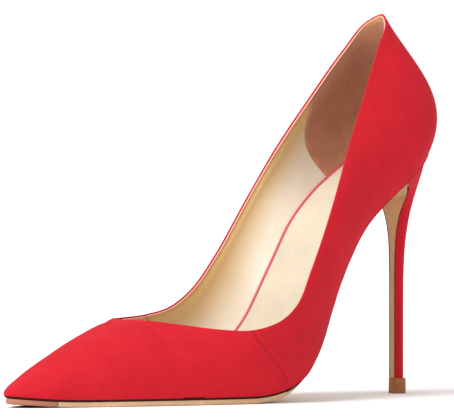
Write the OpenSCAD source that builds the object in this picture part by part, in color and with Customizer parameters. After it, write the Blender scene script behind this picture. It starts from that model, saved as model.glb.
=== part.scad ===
// High heel pump, left shoe. The toe points along -Y, the wearer's left along +X, and the floor is z = 0.

/* [Sole line] */
// Height of the upper's bottom edge above the floor at the ball
feather_z = 3.4; // [3.2:0.1:3.8]
// Tilt of the toe tip above the floor, in degrees
toe_spring = 7; // [5:1:9]
// Steepest angle of the arch, in degrees
arch_angle = 61; // [60:0.5:62]
// Angle of the heel seat, in degrees
seat_angle = 34; // [33:0.5:35]

/* [Layers] */
// Thickness of the suede upper
suede = 1.1; // [0.9:0.1:1.2]
// Thickness of the stiffening layer between upper and lining
stiffener = 0.7; // [0.5:0.1:0.7]
// Thickness of the lining leather
lining = 0.6; // [0.5:0.1:0.6]
// Gap left between layers
gap = 0.1; // [0.08:0.01:0.12]
// Thickness of the insole board
board = 1.2; // [1:0.1:1.2]
// Thickness of the outsole under the forepart
tread = 2.1; // [2:0.05:2.1]
// Thickness of the outsole under the arch
waist_leather = 1.5; // [1.2:0.1:1.6]

/* [Heel] */
// Distance from the origin back to the front of the heel
breast_y = 90.6; // [90.4:0.1:90.8]
// Radius of the top piece
tip_r = 3.5; // [3.4:0.1:3.8]
// Height of the top piece
tip_h = 6.3; // [5.5:0.1:6.3]
// Radius of the steel dowel in the heel
dowel_r = 1.4; // [1.3:0.05:1.4]
// Radius of the top piece's pin
pin_r = 0.7; // [0.6:0.05:0.7]
// Thickness of the suede on the heel
heel_suede = 0.6; // [0.5:0.05:0.6]

/* [Hidden] */

// Place of the toe tip, and of the shoe's centre line beside the box's middle
toe_y = -107.4;
line_x = -2.4;
suede_red = [0.85, 0.14, 0.2];
cream = [0.92, 0.86, 0.77];
tan = [0.87, 0.72, 0.56];
brown = [0.62, 0.4, 0.26];
steel = [0.66, 0.67, 0.69];
board_brown = [0.6, 0.5, 0.38];

// Sole line from the toe to the heel: [length, angle at the end of that length]
SOLE = [[28, 0], [65, 0], [62, arch_angle], [32, arch_angle - 1], [14, 44], [18, seat_angle],
        [34, seat_angle - 3]];

// Stations from the toe to the heel:
// [arc length, half width, edge x, edge y, edge z, low bulge, low height, high bulge, turn or drop]
// The edge is the ridge up to the throat and the topline behind it.
THROAT = 5;
LAST = 18;
LATERAL = [
    [0, 0, 0, -100.6, 10.4, 1.6, 0.4, 2.5, 0],
    [4, 6.5, 0, -98.8, 11.5, 1.8, 0.42, 4, 45],
    [11.5, 11.5, 0, -94.2, 14.2, 2.2, 0.45, 7, 75],
    [26.5, 17.5, 0, -80.8, 20.8, 3, 0.5, 12, 90],
    [45, 24.5, 0, -63.9, 28.2, 4.2, 0.54, 17, 90],
    [63, 30, 0, -49.4, 32.7, 5.2, 0.55, 22, 90],
    [75, 33, 11, -46.4, 32.6, 5.4, 0.46, 15.5, 0.14],
    [85, 35, 23, -37.2, 31, 5.4, 0.4, 9, 0.24],
    [96, 36.5, 32, -27.9, 29.4, 5, 0.38, 6, 0.3],
    [109, 37.8, 38.5, -15.9, 29, 4.6, 0.37, 4, 0.34],
    [121, 36, 40.5, -3.2, 32.5, 4.6, 0.36, 3, 0.35],
    [135, 30.5, 39, 5.9, 38, 5, 0.36, 3, 0.35],
    [153, 24.5, 35.5, 16.6, 52, 5.5, 0.36, 3.5, 0.35],
    [175, 21.8, 30.5, 31.1, 75, 6.5, 0.37, 4.5, 0.35],
    [197, 22.3, 24, 45.6, 99, 7.5, 0.38, 6, 0.35],
    [217, 23, 17, 61.1, 122.5, 9, 0.39, 8, 0.35],
    [233, 21.3, 11, 73.1, 139.5, 11.2, 0.4, 9.7, 0.35],
    [245, 15, 6, 82, 151, 13.2, 0.4, 10.8, 0.35],
    [253, 0, 0, 85, 154, 14.8, 0.4, 10.6, 0.35]
];
MEDIAL = [
    [0, 0, 0, -100.6, 10.4, 1.6, 0.4, 2.5, 0],
    [4, 6.5, 0, -98.8, 11.5, 1.8, 0.42, 4, 45],
    [11.5, 11.5, 0, -94.2, 14.2, 2.2, 0.45, 7, 75],
    [26.5, 18, 0, -80.8, 20.8, 3, 0.5, 12, 90],
    [45, 25.5, 0, -63.9, 28.2, 4, 0.54, 17, 90],
    [63, 31.5, 0, -49.4, 32.7, 4.6, 0.55, 22, 90],
    [75, 34, 10, -46.4, 33, 4.6, 0.46, 16, 0.14],
    [85, 35.3, 20, -37.9, 32.8, 4.4, 0.4, 10, 0.24],
    [96, 35.5, 27, -27.4, 32.8, 4, 0.38, 7, 0.3],
    [109, 33, 31, -13.4, 33.6, 4, 0.37, 4.5, 0.34],
    [121, 29.5, 33.3, 1.6, 36.6, 4.2, 0.36, 3.5, 0.35],
    [135, 25, 34.5, 14.1, 44, 4.8, 0.36, 3, 0.35],
    [153, 21.5, 35, 24.6, 55, 5.5, 0.36, 3.5, 0.35],
    [175, 20.3, 33, 40.6, 79, 6.5, 0.37, 4.5, 0.35],
    [197, 20.8, 28, 51.6, 99, 7.5, 0.38, 6, 0.35],
    [217, 22, 20.5, 63.6, 120, 9, 0.39, 8, 0.35],
    [233, 20.8, 12.5, 74.9, 139.5, 11.2, 0.4, 9.7, 0.35],
    [245, 15, 6, 82, 151, 13.2, 0.4, 10.8, 0.35],
    [253, 0, 0, 85, 154, 14.8, 0.4, 10.6, 0.35]
];
// How fast the surface behind the throat runs on, and how fast the topline cuts into it
throat_run = 0.2;
throat_cut = 0.2;
// Station of the side seam between vamp and quarter
seam = 9;
seam_gap = 0.012;

// Heel sections from the tip up:
// [front height, back height, back y from the front face, half width, corner bulge, back fullness]
HEEL = [
    [6.4, 6.4, 5.3, 1.7, 2.7, 2.2],
    [20, 20, 5.3, 1.7, 2.7, 2.2],
    [36, 36, 5.3, 1.7, 2.7, 2.2],
    [50, 50, 5.5, 1.75, 2.7, 2.3],
    [60, 60.4, 6.2, 2.1, 2.9, 2.6],
    [67, 68, 7.2, 3.1, 2.9, 3.2],
    [73, 75, 8.5, 4.9, 2.6, 4.2],
    [79, 82.5, 10, 8.3, 1.8, 6],
    [84, 89.5, 11.6, 11.6, 1.2, 7.8],
    [88, 95.5, 13, 15.2, 0.2, 9],
    [92, 101, 12.9, 18, -0.7, 8.2]
];

// ---- Sole line ----
function arc_step(p, len, end) =
    let (mid = (p[3] + end) / 2, half = (end - p[3]) / 2,
         chord = len * (abs(half) < 0.001 ? 1 : sin(half) / (half * PI / 180)))
    [p[0] + len, p[1] + chord * cos(mid), p[2] + chord * sin(mid), end];
function walk(i, p) =
    i == len(SOLE) ? [p] : concat([p], walk(i + 1, arc_step(p, SOLE[i][0], SOLE[i][1])));
toe_drop = -arc_step([0, 0, 0, -toe_spring], SOLE[0][0], 0)[2];
BENDS = walk(0, [0, toe_y, feather_z + toe_drop, -toe_spring]);
function bend_of(s) = max([for (i = [0 : len(SOLE) - 1]) if (i == 0 || BENDS[i][0] <= s) i]);
function on_sole(s) =
    let (i = bend_of(s), part = s - BENDS[i][0])
    arc_step(BENDS[i], part, BENDS[i][3] + (SOLE[i][1] - BENDS[i][3]) * part / SOLE[i][0]);
// Point at arc length s, sideways x, and n above the upper's bottom edge
function sole_point(s, x, n) =
    let (p = on_sole(s)) [x + line_x, p[1] - n * sin(p[3]), p[2] + n * cos(p[3])];

// ---- Splines through the stations ----
function unit(v) = v / max(norm(v), 1e-9);
function mirror_x(p) = concat([-p[0]], [for (i = [1 : len(p) - 1]) p[i]]);
function velocity(a, b, c) =
    let (d0 = max(norm(b - a), 1e-6), d1 = max(norm(c - b), 1e-6))
    ((b - a) / d0 * d1 + (c - b) / d1 * d0) / (d0 + d1);
function hermite(a, va, b, vb, t) =
    let (d = norm(b - a))
    a * (2*t*t*t - 3*t*t + 1) + va * d * (t*t*t - 2*t*t + t)
    + b * (3*t*t - 2*t*t*t) + vb * d * (t*t*t - t*t);
function neighbour(list, i) =
    i < 0 ? mirror_x(list[1]) : i > LAST ? mirror_x(list[LAST - 1]) : list[i];
function knot_velocity(list, i) = velocity(neighbour(list, i - 1), list[i], neighbour(list, i + 1));
function spline(list, u) =
    let (i = min(floor(u), LAST - 1))
    hermite(list[i], knot_velocity(list, i), list[i + 1], knot_velocity(list, i + 1), u - i);
// The four control curves of the upper are splines too, but they turn a corner at the throat, where
// the ridge ends and the topline starts. Behind it each curve starts along the surface in front of it.
function ridge_velocity(list, j, i) =
    j == 3 && i == THROAT ? unit(list[THROAT] - list[THROAT - 1]) : knot_velocity(list, i);
function throat_rate(net, j) =
    let (back = net[j][THROAT] - net[j][THROAT - 1])
    throat_run * ridge_velocity(net[j], j, THROAT) * norm(back)
    - throat_cut * j * (net[j][THROAT] - net[max(j - 1, 0)][THROAT]);
function control(net, j, u) =
    let (list = net[j], i = min(floor(u), LAST - 1), d = max(norm(list[i + 1] - list[i]), 1e-6),
         start = i == THROAT ? throat_rate(net, j) / d : knot_velocity(list, i))
    hermite(list[i], start, list[i + 1], ridge_velocity(list, j, i + 1), u - i);

// ---- Upper surface: a band of curves from the bottom edge to the ridge or the topline ----
function way_of(side) = side == 0 ? 1 : -1;
function rows_of(side) = side == 0 ? LATERAL : MEDIAL;
function outline_list(side) = [for (r = rows_of(side)) [way_of(side) * r[1], r[0]]];
OUTLINE = [outline_list(0), outline_list(1)];
function foot_list(side) = [for (p = OUTLINE[side]) sole_point(p[1], p[0], 0)];
FOOT = [foot_list(0), foot_list(1)];
function edge_list(side) =
    [for (r = rows_of(side)) [way_of(side) * r[2] + line_x, r[3], r[4]]];
EDGE = [edge_list(0), edge_list(1)];
function about_line(p) = [p[0] - line_x, p[1], p[2]];
function centred(list) = [for (p = list) about_line(p)];
function plan_normal(side, i) =
    let (v = knot_velocity(centred(FOOT[side]), i)) unit([v[1], -v[0]] * way_of(side));
function ridge_way(side, i) = unit(EDGE[side][min(i + 1, THROAT)] - EDGE[side][max(i - 1, 0)]);
function low_point(side, i) =
    let (r = rows_of(side)[i], f = FOOT[side][i], e = EDGE[side][i], n = plan_normal(side, i))
    [f[0] + n[0] * r[5] + 0.1 * (e[0] - f[0]), f[1] + n[1] * r[5] + 0.1 * (e[1] - f[1]),
     f[2] + r[6] * (e[2] - f[2])];
function high_point(side, i) =
    let (r = rows_of(side)[i], f = FOOT[side][i], e = EDGE[side][i], n = plan_normal(side, i))
    i <= THROAT
    ? e + r[7] * (sin(r[8]) * [way_of(side), 0, 0] - cos(r[8]) * ridge_way(side, i))
    : [e[0] + n[0] * r[7], e[1] + n[1] * r[7], e[2] - r[8] * (e[2] - f[2])];
LOW = [for (side = [0, 1]) [for (i = [0 : LAST]) about_line(low_point(side, i))]];
HIGH = [for (side = [0, 1]) [for (i = [0 : LAST]) about_line(high_point(side, i))]];
NET = [for (side = [0, 1]) [centred(FOOT[side]), LOW[side], HIGH[side], centred(EDGE[side])]];
function upper(side, u, v) =
    let (w = 1 - v, f = control(NET[side], 0, u), a = control(NET[side], 1, u),
         b = control(NET[side], 2, u), e = control(NET[side], 3, u))
    f * w*w*w + a * 3*w*w*v + b * 3*w*v*v + e * v*v*v + [line_x, 0, 0];
function slope_u(side, u, v) = upper(side, min(u + 0.02, LAST), v) - upper(side, max(u - 0.02, 0), v);
function slope_v(side, u, v) = upper(side, u, min(v + 0.01, 1)) - upper(side, u, max(v - 0.01, 0));
function ridge_normal(u) =
    let (t = unit(control(NET[0], 3, min(u + 0.1, THROAT) - 0.001)
                  - control(NET[0], 3, max(u - 0.1, 0))))
    [0, -t[2], t[1]];
function upper_normal(side, u, v) =
    let (n = unit(cross(slope_u(side, u, v), slope_v(side, u, v)) * way_of(side)))
    v > 0.999 && u <= THROAT ? ridge_normal(u)
    : u < 0.001 || u > LAST - 0.001 ? unit([0, n[1], n[2]]) : n;
function inside(side, u, v, depth) = upper(side, u, v) - depth * upper_normal(side, u, v);

// ---- Plan outline moved inwards, for everything that lies along the sole ----
function outline(side, u) = spline(OUTLINE[side], u);
function outline_in(side, u, d) =
    let (t = unit(outline(side, min(u + 0.02, LAST)) - outline(side, max(u - 0.02, 0))),
         n = [-t[1], t[0]] * way_of(side), p = outline(side, u) + n * d)
    u < 0.001 || u > LAST - 0.001 ? [0, p[1]] : p;
function bottom_point(side, u, d, n) = let (p = outline_in(side, u, d)) sole_point(p[1], p[0], n);

// ---- Shells of the upper: sides are 0 for lateral and 1 for medial ----
// Width of the lasting margin that is folded in under the insole board
function margin(side, u) = min(10, 3 + 0.35 * abs(outline(side, u)[0]));
function foot_outer(side, u) =
    [bottom_point(side, u, margin(side, u), -suede - 0.1), bottom_point(side, u, 1.4, -suede - 0.1),
     bottom_point(side, u, 0.3, -0.7)];
function foot_inner(side, u) =
    [bottom_point(side, u, 1.5, 0), bottom_point(side, u, 2.2, -0.1),
     bottom_point(side, u, margin(side, u), -0.1)];
// Inner layers start higher at the toe tip, where there is no room for them lower down
toe_lift = 0.25;
function layer_height(u, v, depth) = depth > 0 ? v + toe_lift * (1 - v) * max(0, 1 - u / 1.5) : v;
function shell_row(side, u, vs, d0, d1, lasted) =
    concat(lasted ? foot_outer(side, u) : [],
           [for (v = vs) inside(side, u, layer_height(u, v, d0), d0)],
           [for (k = [len(vs) - 1 : -1 : 0]) inside(side, u, layer_height(u, vs[k], d0), d1)],
           lasted ? foot_inner(side, u) : []);
function steps(a, b, n) = [for (k = [0 : n]) a + (b - a) * k / n];

module shell(sides, us, vs, d0, d1, lasted = false) {
    rows = [for (side = sides) each [for (u = us) shell_row(side, u, vs, d0, d1, lasted)]];
    count = len(us);
    loop = len(rows[0]);
    half = loop / 2;
    both = len(sides) == 2;
    top = lasted ? 3 + len(vs) - 1 : len(vs) - 1;
    first = us[0];
    last = us[count - 1];
    ridged = both && vs[len(vs) - 1] > 0.999;
    function on_ridge(r) = ridged && us[r] <= THROAT;
    function shared(r, j) =
        us[r] < 0.001 || us[r] > LAST - 0.001 || (on_ridge(r) && (j == top || j == top + 1));
    function id(k, r, j) = ((k == 1 && shared(r, j)) ? r : k * count + r) * loop + j;
    function quad(a, b, c, d, flip) = flip ? [[a, c, b], [a, d, c]] : [[a, b, c], [a, c, d]];
    // Outside, each quad is split along its other diagonal, so that no triangle lies in the middle plane
    walls = [for (k = [0 : len(sides) - 1], r = [0 : count - 2], j = [0 : loop - 1])
             if (!(j == top && on_ridge(r) && on_ridge(r + 1)))
             let (n = (j + 1) % loop,
                  a = id(k, r, j), b = id(k, r, n), c = id(k, r + 1, n), d = id(k, r + 1, j))
             each (j < top ? quad(b, c, d, a, sides[k] == 1) : quad(a, b, c, d, sides[k] == 1))];
    front = both && first < 0.001 ? [] :
        [for (k = [0 : len(sides) - 1], j = [0 : half - 2])
         each quad(id(k, 0, j), id(k, 0, loop - 1 - j), id(k, 0, loop - 2 - j), id(k, 0, j + 1),
                   sides[k] == 1)];
    back = both && last > LAST - 0.001 ? [] :
        [for (k = [0 : len(sides) - 1], j = [0 : half - 2])
         each quad(id(k, count - 1, j), id(k, count - 1, j + 1), id(k, count - 1, loop - 2 - j),
                   id(k, count - 1, loop - 1 - j), sides[k] == 1)];
    polyhedron([for (row = rows) each row], concat(walls, front, back));
}

// ---- Plates that follow the sole line, d inside the outline, between heights n0 and n1 ----
function plate_row(u, d, n0, n1) =
    [bottom_point(0, u, d, n1), bottom_point(1, u, d, n1), bottom_point(1, u, d, n0),
     bottom_point(0, u, d, n0)];
module skin(rows) {
    loop = len(rows[0]);
    count = len(rows);
    walls = [for (r = [0 : count - 2], j = [0 : loop - 1])
             let (n = (j + 1) % loop, a = r * loop + j, b = r * loop + n)
             each [[a, b, b + loop], [a, b + loop, a + loop]]];
    polyhedron([for (row = rows) each row],
               concat([[for (j = [loop - 1 : -1 : 0]) j]], walls,
                      [[for (j = [0 : loop - 1]) (count - 1) * loop + j]]));
}
module plate(us, d, n0, n1) skin([for (u = us) plate_row(u, d, n0, n1)]);
// Strip of half width w down the middle of the sole
module strip(ss, w, n0, n1)
    skin([for (s = ss) [sole_point(s, w, n1), sole_point(s, -w, n1), sole_point(s, -w, n0),
                        sole_point(s, w, n0)]]);

// ---- Upper ----
// All layers share one grid of stations and heights, so that their facets lie parallel
HEIGHTS = [0, 0.1, 0.22, 0.35, 0.5, 0.65, 0.8, 0.92, 1];
GRID = concat(steps(0, 5, 10), [5.2, 5.5, 5.8], steps(6.1, 8.5, 6), steps(9, 16.5, 30),
              [17, 17.4, 17.7, LAST]);
function between(list, a, b) = [for (x = list) if (x > a + 0.01 && x < b - 0.01) x];
function span(a, b) = concat([a], between(GRID, a, b), [b]);
function rise(a, b) = concat([a], between(HEIGHTS, a, b), [b]);
// The quarters and their linings stop just short of the middle of the heel. A layer inside them that goes
// right round has a station at the same place.
seam_end = LAST - 0.02;
lining_end = LAST - 0.03;
function round_heel(a, stop) = concat(span(a, stop), [LAST]);
puff_depth = suede + gap;
lining_depth = puff_depth + stiffener + gap;
grip_depth = lining_depth + lining + gap;

module vamp()
    color(suede_red) shell([0, 1], span(0, seam - seam_gap), HEIGHTS, 0, suede, true);
module quarter(side)
    color(suede_red) shell([side], span(seam + seam_gap, seam_end), HEIGHTS, 0, suede, true);
module quarter_lateral() quarter(0);
module quarter_medial() quarter(1);
module toe_puff()
    color(cream) shell([0, 1], span(0, 3), rise(0.1, 1), puff_depth, puff_depth + stiffener);
module vamp_backing()
    color(cream) shell([0, 1], span(3.05, seam - 0.1), rise(0.1, 1), puff_depth, puff_depth + stiffener);
module heel_counter()
    color(board_brown) shell([0, 1], round_heel(13.5, seam_end), rise(0.1, 0.8), puff_depth,
                             puff_depth + stiffener);
module topline_tape()
    for (side = [0, 1])
        color("white") shell([side], span(9.5, 13.25), rise(0.8, 0.92), puff_depth, puff_depth + 0.3);
module vamp_lining()
    color(cream) shell([0, 1], span(0, seam - 0.05), rise(0.1, 1), lining_depth, lining_depth + lining);
module quarter_lining(side)
    color(cream) shell([side], span(seam + 0.05, lining_end), rise(0.1, 1), lining_depth,
                       lining_depth + lining);
module quarter_lining_lateral() quarter_lining(0);
module quarter_lining_medial() quarter_lining(1);
module heel_grip()
    color(brown) shell([0, 1], round_heel(15, lining_end), rise(0.22, 0.92), grip_depth, grip_depth + 0.5);

// ---- Insole and sock ----
plate_us = concat([0.3, 0.7, 1, 1.5, 2], steps(2.5, 9, 13), steps(9.25, 16.5, 29), [17, 17.4, 17.7]);
function plate_span(a, b) = concat([a], between(plate_us, a, b), [b]);
board_in = 3.6;
pad_n = board + gap;
padding_n = 2.1;
sock_n = 3.2;
sock_t = 0.8;
module insole_board() color(board_brown) plate(plate_us, board_in, 0, board);
module forefoot_pad()
    color([0.9, 0.85, 0.6]) plate(plate_span(2.5, 8.9), board_in + 1, pad_n, 2);
module shank_board()
    color(board_brown) plate(plate_span(9.25, 17), board_in + 0.6, pad_n, 2);
module sock_padding() color([0.9, 0.85, 0.6]) plate(plate_span(3, 17.7), board_in + 0.6, padding_n, 3.1);
module sock_lining() color(cream) plate(plate_span(3, 17.7), board_in + 0.9, sock_n, sock_n + sock_t);
binding_us = concat(plate_span(7, 17.7), [LAST]);
function binding_row(side, u) =
    [bottom_point(side, u, board_in + 0.1, sock_n + 1), bottom_point(side, u, board_in + 0.8, sock_n + 1),
     bottom_point(side, u, board_in + 0.8, sock_n), bottom_point(side, u, board_in + 0.1, sock_n)];
module sock_binding() {
    lateral = [for (u = binding_us) binding_row(0, u)];
    medial = [for (k = [len(binding_us) - 2 : -1 : 0]) binding_row(1, binding_us[k])];
    color([0.83, 0.36, 0.38]) skin(concat(lateral, medial));
}

// ---- Bottom ----
shank_ss = steps(118, 223, 42);
module shank_spring() color(steel) strip(shank_ss, 5.5, -1.15, -0.1);
module bottom_filler() color([0.75, 0.6, 0.42]) plate(plate_span(2.5, 8.9), 13, -1.1, -0.2);
module on_seat(s, n)
    translate(sole_point(s, 0, n)) rotate([on_sole(s)[3], 0, 0]) children();
module shank_rivets()
    for (s = [147, 187])
        color(steel) on_seat(s, -1.15) cylinder(r = 1.5, h = 1.15 + board, $fn = 24);

sole_in = 1.1;
sole_top = -suede - 0.2;
toe_piece_end = 2.25;
function sole_thickness(u) =
    u < 9 ? tread : u > 12 ? waist_leather : tread + (waist_leather - tread) * (u - 9) / 3;
module sole_part(us)
    color(tan) skin([for (u = us) plate_row(u, sole_in, sole_top - sole_thickness(u), sole_top)]);
sole_end = 16;
module outsole() sole_part(plate_span(toe_piece_end + 0.02, sole_end));
module sole_toe_piece()
    color([0.72, 0.47, 0.37]) skin([for (u = concat([0.15], plate_span(0.4, toe_piece_end - 0.02)))
                                    plate_row(u, sole_in, sole_top - tread, sole_top)]);

// ---- Heel ----
function catmull(a, b, c, d, t) =
    0.5 * (2 * b + (c - a) * t + (2*a - 5*b + 4*c - d) * t*t + (3*b - a - 3*c + d) * t*t*t);
function heel_row(k) =
    let (i = min(floor(k), len(HEEL) - 2))
    catmull(HEEL[max(i - 1, 0)], HEEL[i], HEEL[i + 1], HEEL[min(i + 2, len(HEEL) - 1)], k - i);
// Height of the heel's top plane at y
seat_n = -suede - 0.25;
seat_front = sole_point(235, 0, seat_n);
seat_back = sole_point(252, 0, seat_n);
function seat_z(y) =
    seat_front[2] + (seat_back[2] - seat_front[2]) * (y - seat_front[1]) / (seat_back[1] - seat_front[1]);
function bezier(a, b, c, d, t) =
    let (w = 1 - t) a * w*w*w + b * 3*w*w*t + c * 3*w*t*t + d * t*t*t;
// Half section from the front corner to the back, moved in by inset, with its front at y = face
function heel_curve(r, face, inset, t) =
    let (deep = r[2] - inset - (face - breast_y), half = r[3] - (inset > 0 ? 0.4 * inset : 0))
    bezier([half, face], [half + r[4] - 0.6 * inset, face + 0.35 * deep],
           [r[5] - 0.5 * inset, face + deep], [0, face + deep], t);
function heel_z(k, r, y) =
    k > len(HEEL) - 1.001 ? seat_z(y) : r[0] + (r[1] - r[0]) * (y - breast_y) / r[2];
function heel_point(k, face, inset, t, way) =
    let (r = heel_row(k), p = heel_curve(r, face, inset, t))
    [way * p[0] + line_x, p[1], heel_z(k, r, p[1])];
heel_ks = concat(steps(0, 3, 3), steps(3.5, 10, 13));
curve_n = 8;
curve_ts = steps(0, 1, curve_n);
breast_t = 1;
block_start = breast_t + 0.1;
block_inset = heel_suede + 0.1;
// Where along the half section its distance from the front is a given share q of its depth, by one
// Newton step
function at_share(q) =
    let (t = q / 1.05) t - (1.05 * t + 0.9 * t*t - 0.95 * t*t*t - q) / (1.05 + 1.8 * t - 2.85 * t*t);
// Heel section as one line from the front corner on the +X side round the back to the other corner.
// start is how far behind the front it begins.
function heel_line(k, inset, start = 0) =
    let (t0 = start > 0 ? at_share(start / (heel_row(k)[2] - inset)) : 0,
         ts = [for (t = curve_ts) t0 + (1 - t0) * t])
    concat([for (t = ts) heel_point(k, breast_y, inset, t, 1)],
           [for (i = [curve_n - 1 : -1 : 0]) heel_point(k, breast_y, inset, ts[i], -1)]);
function backwards(list) = [for (i = [len(list) - 1 : -1 : 0]) list[i]];
module heel_body()
    skin([for (k = heel_ks) backwards(heel_line(k, block_inset, block_start))]);
dowel_y = breast_y + 2.85;
module heel_block() {
    color([0.9, 0.88, 0.84])
    difference() {
        heel_body();
        translate([line_x, dowel_y, 0]) cylinder(r = dowel_r, h = 72, $fn = 32);
    }
}
function cover_loop(k) =
    concat(heel_line(k, 0), backwards(heel_line(k, heel_suede)));
module heel_cover() {
    rows = [for (k = heel_ks) cover_loop(k)];
    loop = len(rows[0]);
    count = len(rows);
    half = loop / 2;
    walls = [for (r = [0 : count - 2], j = [0 : loop - 1])
             let (n = (j + 1) % loop, a = r * loop + j, b = r * loop + n)
             each [[a, b + loop, b], [a, a + loop, b + loop]]];
    bottom = [for (j = [0 : half - 2])
              let (k = loop - 1 - j) each [[j, j + 1, k - 1], [j, k - 1, k]]];
    end = (count - 1) * loop;
    top_end = [for (j = [0 : half - 2])
               let (a = end + j, k = end + loop - 1 - j) each [[a, k - 1, a + 1], [a, k, k - 1]]];
    color(suede_red) polyhedron([for (row = rows) each row], concat(walls, bottom, top_end));
}
function breast_row(k) =
    let (r = heel_row(k), w = r[3] - 0.55,
         za = heel_z(k, r, breast_y + 0.02), zb = heel_z(k, r, breast_y + breast_t))
    [[w + line_x, breast_y + 0.02, za], [-w + line_x, breast_y + 0.02, za],
     [-w + line_x, breast_y + breast_t, zb], [w + line_x, breast_y + breast_t, zb]];
module breast_cover() color(tan) skin([for (k = heel_ks) breast_row(k)]);
module heel_dowel() {
    color(steel) translate([line_x, dowel_y, tip_h + 0.1])
    difference() {
        cylinder(r = dowel_r, h = 65, $fn = 32);
        translate([0, 0, -1]) cylinder(r = pin_r, h = 16, $fn = 32);
    }
}
pin_z = 3;
module on_dowel(z) translate([line_x, dowel_y, z]) children();
module top_piece() {
    color(brown)
    difference() {
        intersection() {
            on_dowel(0) cylinder(r = tip_r, h = tip_h, $fn = 48);
            translate([line_x - 5, breast_y - 0.3, 0]) cube([10, 10, tip_h]);
        }
        on_dowel(pin_z) cylinder(r = pin_r, h = 10, $fn = 32);
    }
}
module top_piece_pin() color(steel) on_dowel(pin_z) cylinder(r = pin_r, h = 16, $fn = 32);
// The screw and the nails stand upright, with their flat ends below the sloping face of the board
screw_r = 1.6;
screw_head_r = 2.6;
screw_sink = 1.75;
screw_length = 14;
nail_r = 0.7;
nail_sink = 0.6;
nail_length = 8;
module heel_screw()
    color(steel) translate(sole_point(245, 0, board) - [0, 0, screw_sink]) {
        translate([0, 0, -screw_length]) cylinder(r = screw_r, h = screw_length, $fn = 24);
        translate([0, 0, -0.9]) cylinder(r = screw_head_r, h = 0.9, $fn = 32);
    }
module heel_nails()
    color(steel)
    for (p = [[242, 8], [242, -8], [248, 5], [248, -5]])
        translate(sole_point(p[0], p[1], board) - [0, 0, nail_sink + nail_length])
            cylinder(r = nail_r, h = nail_length, $fn = 16);

vamp();
quarter_lateral();
quarter_medial();
toe_puff();
vamp_backing();
heel_counter();
vamp_lining();
quarter_lining_lateral();
quarter_lining_medial();
heel_grip();
topline_tape();
insole_board();
forefoot_pad();
shank_board();
shank_spring();
shank_rivets();
bottom_filler();
sock_padding();
sock_lining();
sock_binding();
outsole();
sole_toe_piece();
breast_cover();
heel_block();
heel_cover();
heel_dowel();
heel_screw();
heel_nails();
top_piece();
top_piece_pin();
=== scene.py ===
import math

import bmesh
import bpy
import numpy as np
from bpy.props import FloatProperty, FloatVectorProperty, PointerProperty
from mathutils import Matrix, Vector


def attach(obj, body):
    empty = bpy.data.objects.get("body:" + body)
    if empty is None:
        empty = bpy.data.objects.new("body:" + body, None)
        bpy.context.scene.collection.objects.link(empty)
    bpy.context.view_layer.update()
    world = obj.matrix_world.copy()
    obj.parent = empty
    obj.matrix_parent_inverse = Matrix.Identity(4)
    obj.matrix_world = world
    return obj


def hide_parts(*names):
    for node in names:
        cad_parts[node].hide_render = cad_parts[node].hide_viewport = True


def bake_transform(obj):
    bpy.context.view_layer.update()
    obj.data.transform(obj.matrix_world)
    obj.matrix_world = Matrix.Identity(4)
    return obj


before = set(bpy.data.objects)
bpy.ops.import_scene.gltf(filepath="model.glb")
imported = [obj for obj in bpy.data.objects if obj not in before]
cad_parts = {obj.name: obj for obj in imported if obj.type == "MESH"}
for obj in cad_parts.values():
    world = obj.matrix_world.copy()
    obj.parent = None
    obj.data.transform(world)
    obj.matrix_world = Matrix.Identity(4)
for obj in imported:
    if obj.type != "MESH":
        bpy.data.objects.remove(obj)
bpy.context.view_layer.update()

bl_info = {
    "name": "High Heel Pump",
    "version": (1, 0, 0),
    "blender": (4, 5, 0),
    "location": "3D View > Sidebar > Pump",
    "description": "Builds a suede court shoe with its lining, sock, sole and heel",
    "category": "Add Mesh",
}

# ---- Sizes shared with the CAD, in millimetres. X is across, Y runs to the heel, Z is up ----
MM = 0.001
TOE_Y = -107.4
LINE_X = -2.4
FEATHER_Z = 3.4
TOE_SPRING = 7.0
SOLE = ((28, 0), (65, 0), (62, 61), (32, 60), (14, 44), (18, 34), (34, 31))
THROAT = 5
LAST = 18
LATERAL = (
    (0, 0, 0, -100.6, 10.4, 1.6, 0.4, 2.5, 0),
    (4, 6.5, 0, -98.8, 11.5, 1.8, 0.42, 4, 45),
    (11.5, 11.5, 0, -94.2, 14.2, 2.2, 0.45, 7, 75),
    (26.5, 17.5, 0, -80.8, 20.8, 3, 0.5, 12, 90),
    (45, 24.5, 0, -63.9, 28.2, 4.2, 0.54, 17, 90),
    (63, 30, 0, -49.4, 32.7, 5.2, 0.55, 22, 90),
    (75, 33, 11, -46.4, 32.6, 5.4, 0.46, 15.5, 0.14),
    (85, 35, 23, -37.2, 31, 5.4, 0.4, 9, 0.24),
    (96, 36.5, 32, -27.9, 29.4, 5, 0.38, 6, 0.3),
    (109, 37.8, 38.5, -15.9, 29, 4.6, 0.37, 4, 0.34),
    (121, 36, 40.5, -3.2, 32.5, 4.6, 0.36, 3, 0.35),
    (135, 30.5, 39, 5.9, 38, 5, 0.36, 3, 0.35),
    (153, 24.5, 35.5, 16.6, 52, 5.5, 0.36, 3.5, 0.35),
    (175, 21.8, 30.5, 31.1, 75, 6.5, 0.37, 4.5, 0.35),
    (197, 22.3, 24, 45.6, 99, 7.5, 0.38, 6, 0.35),
    (217, 23, 17, 61.1, 122.5, 9, 0.39, 8, 0.35),
    (233, 21.3, 11, 73.1, 139.5, 11.2, 0.4, 9.7, 0.35),
    (245, 15, 6, 82, 151, 13.2, 0.4, 10.8, 0.35),
    (253, 0, 0, 85, 154, 14.8, 0.4, 10.6, 0.35),
)
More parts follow.
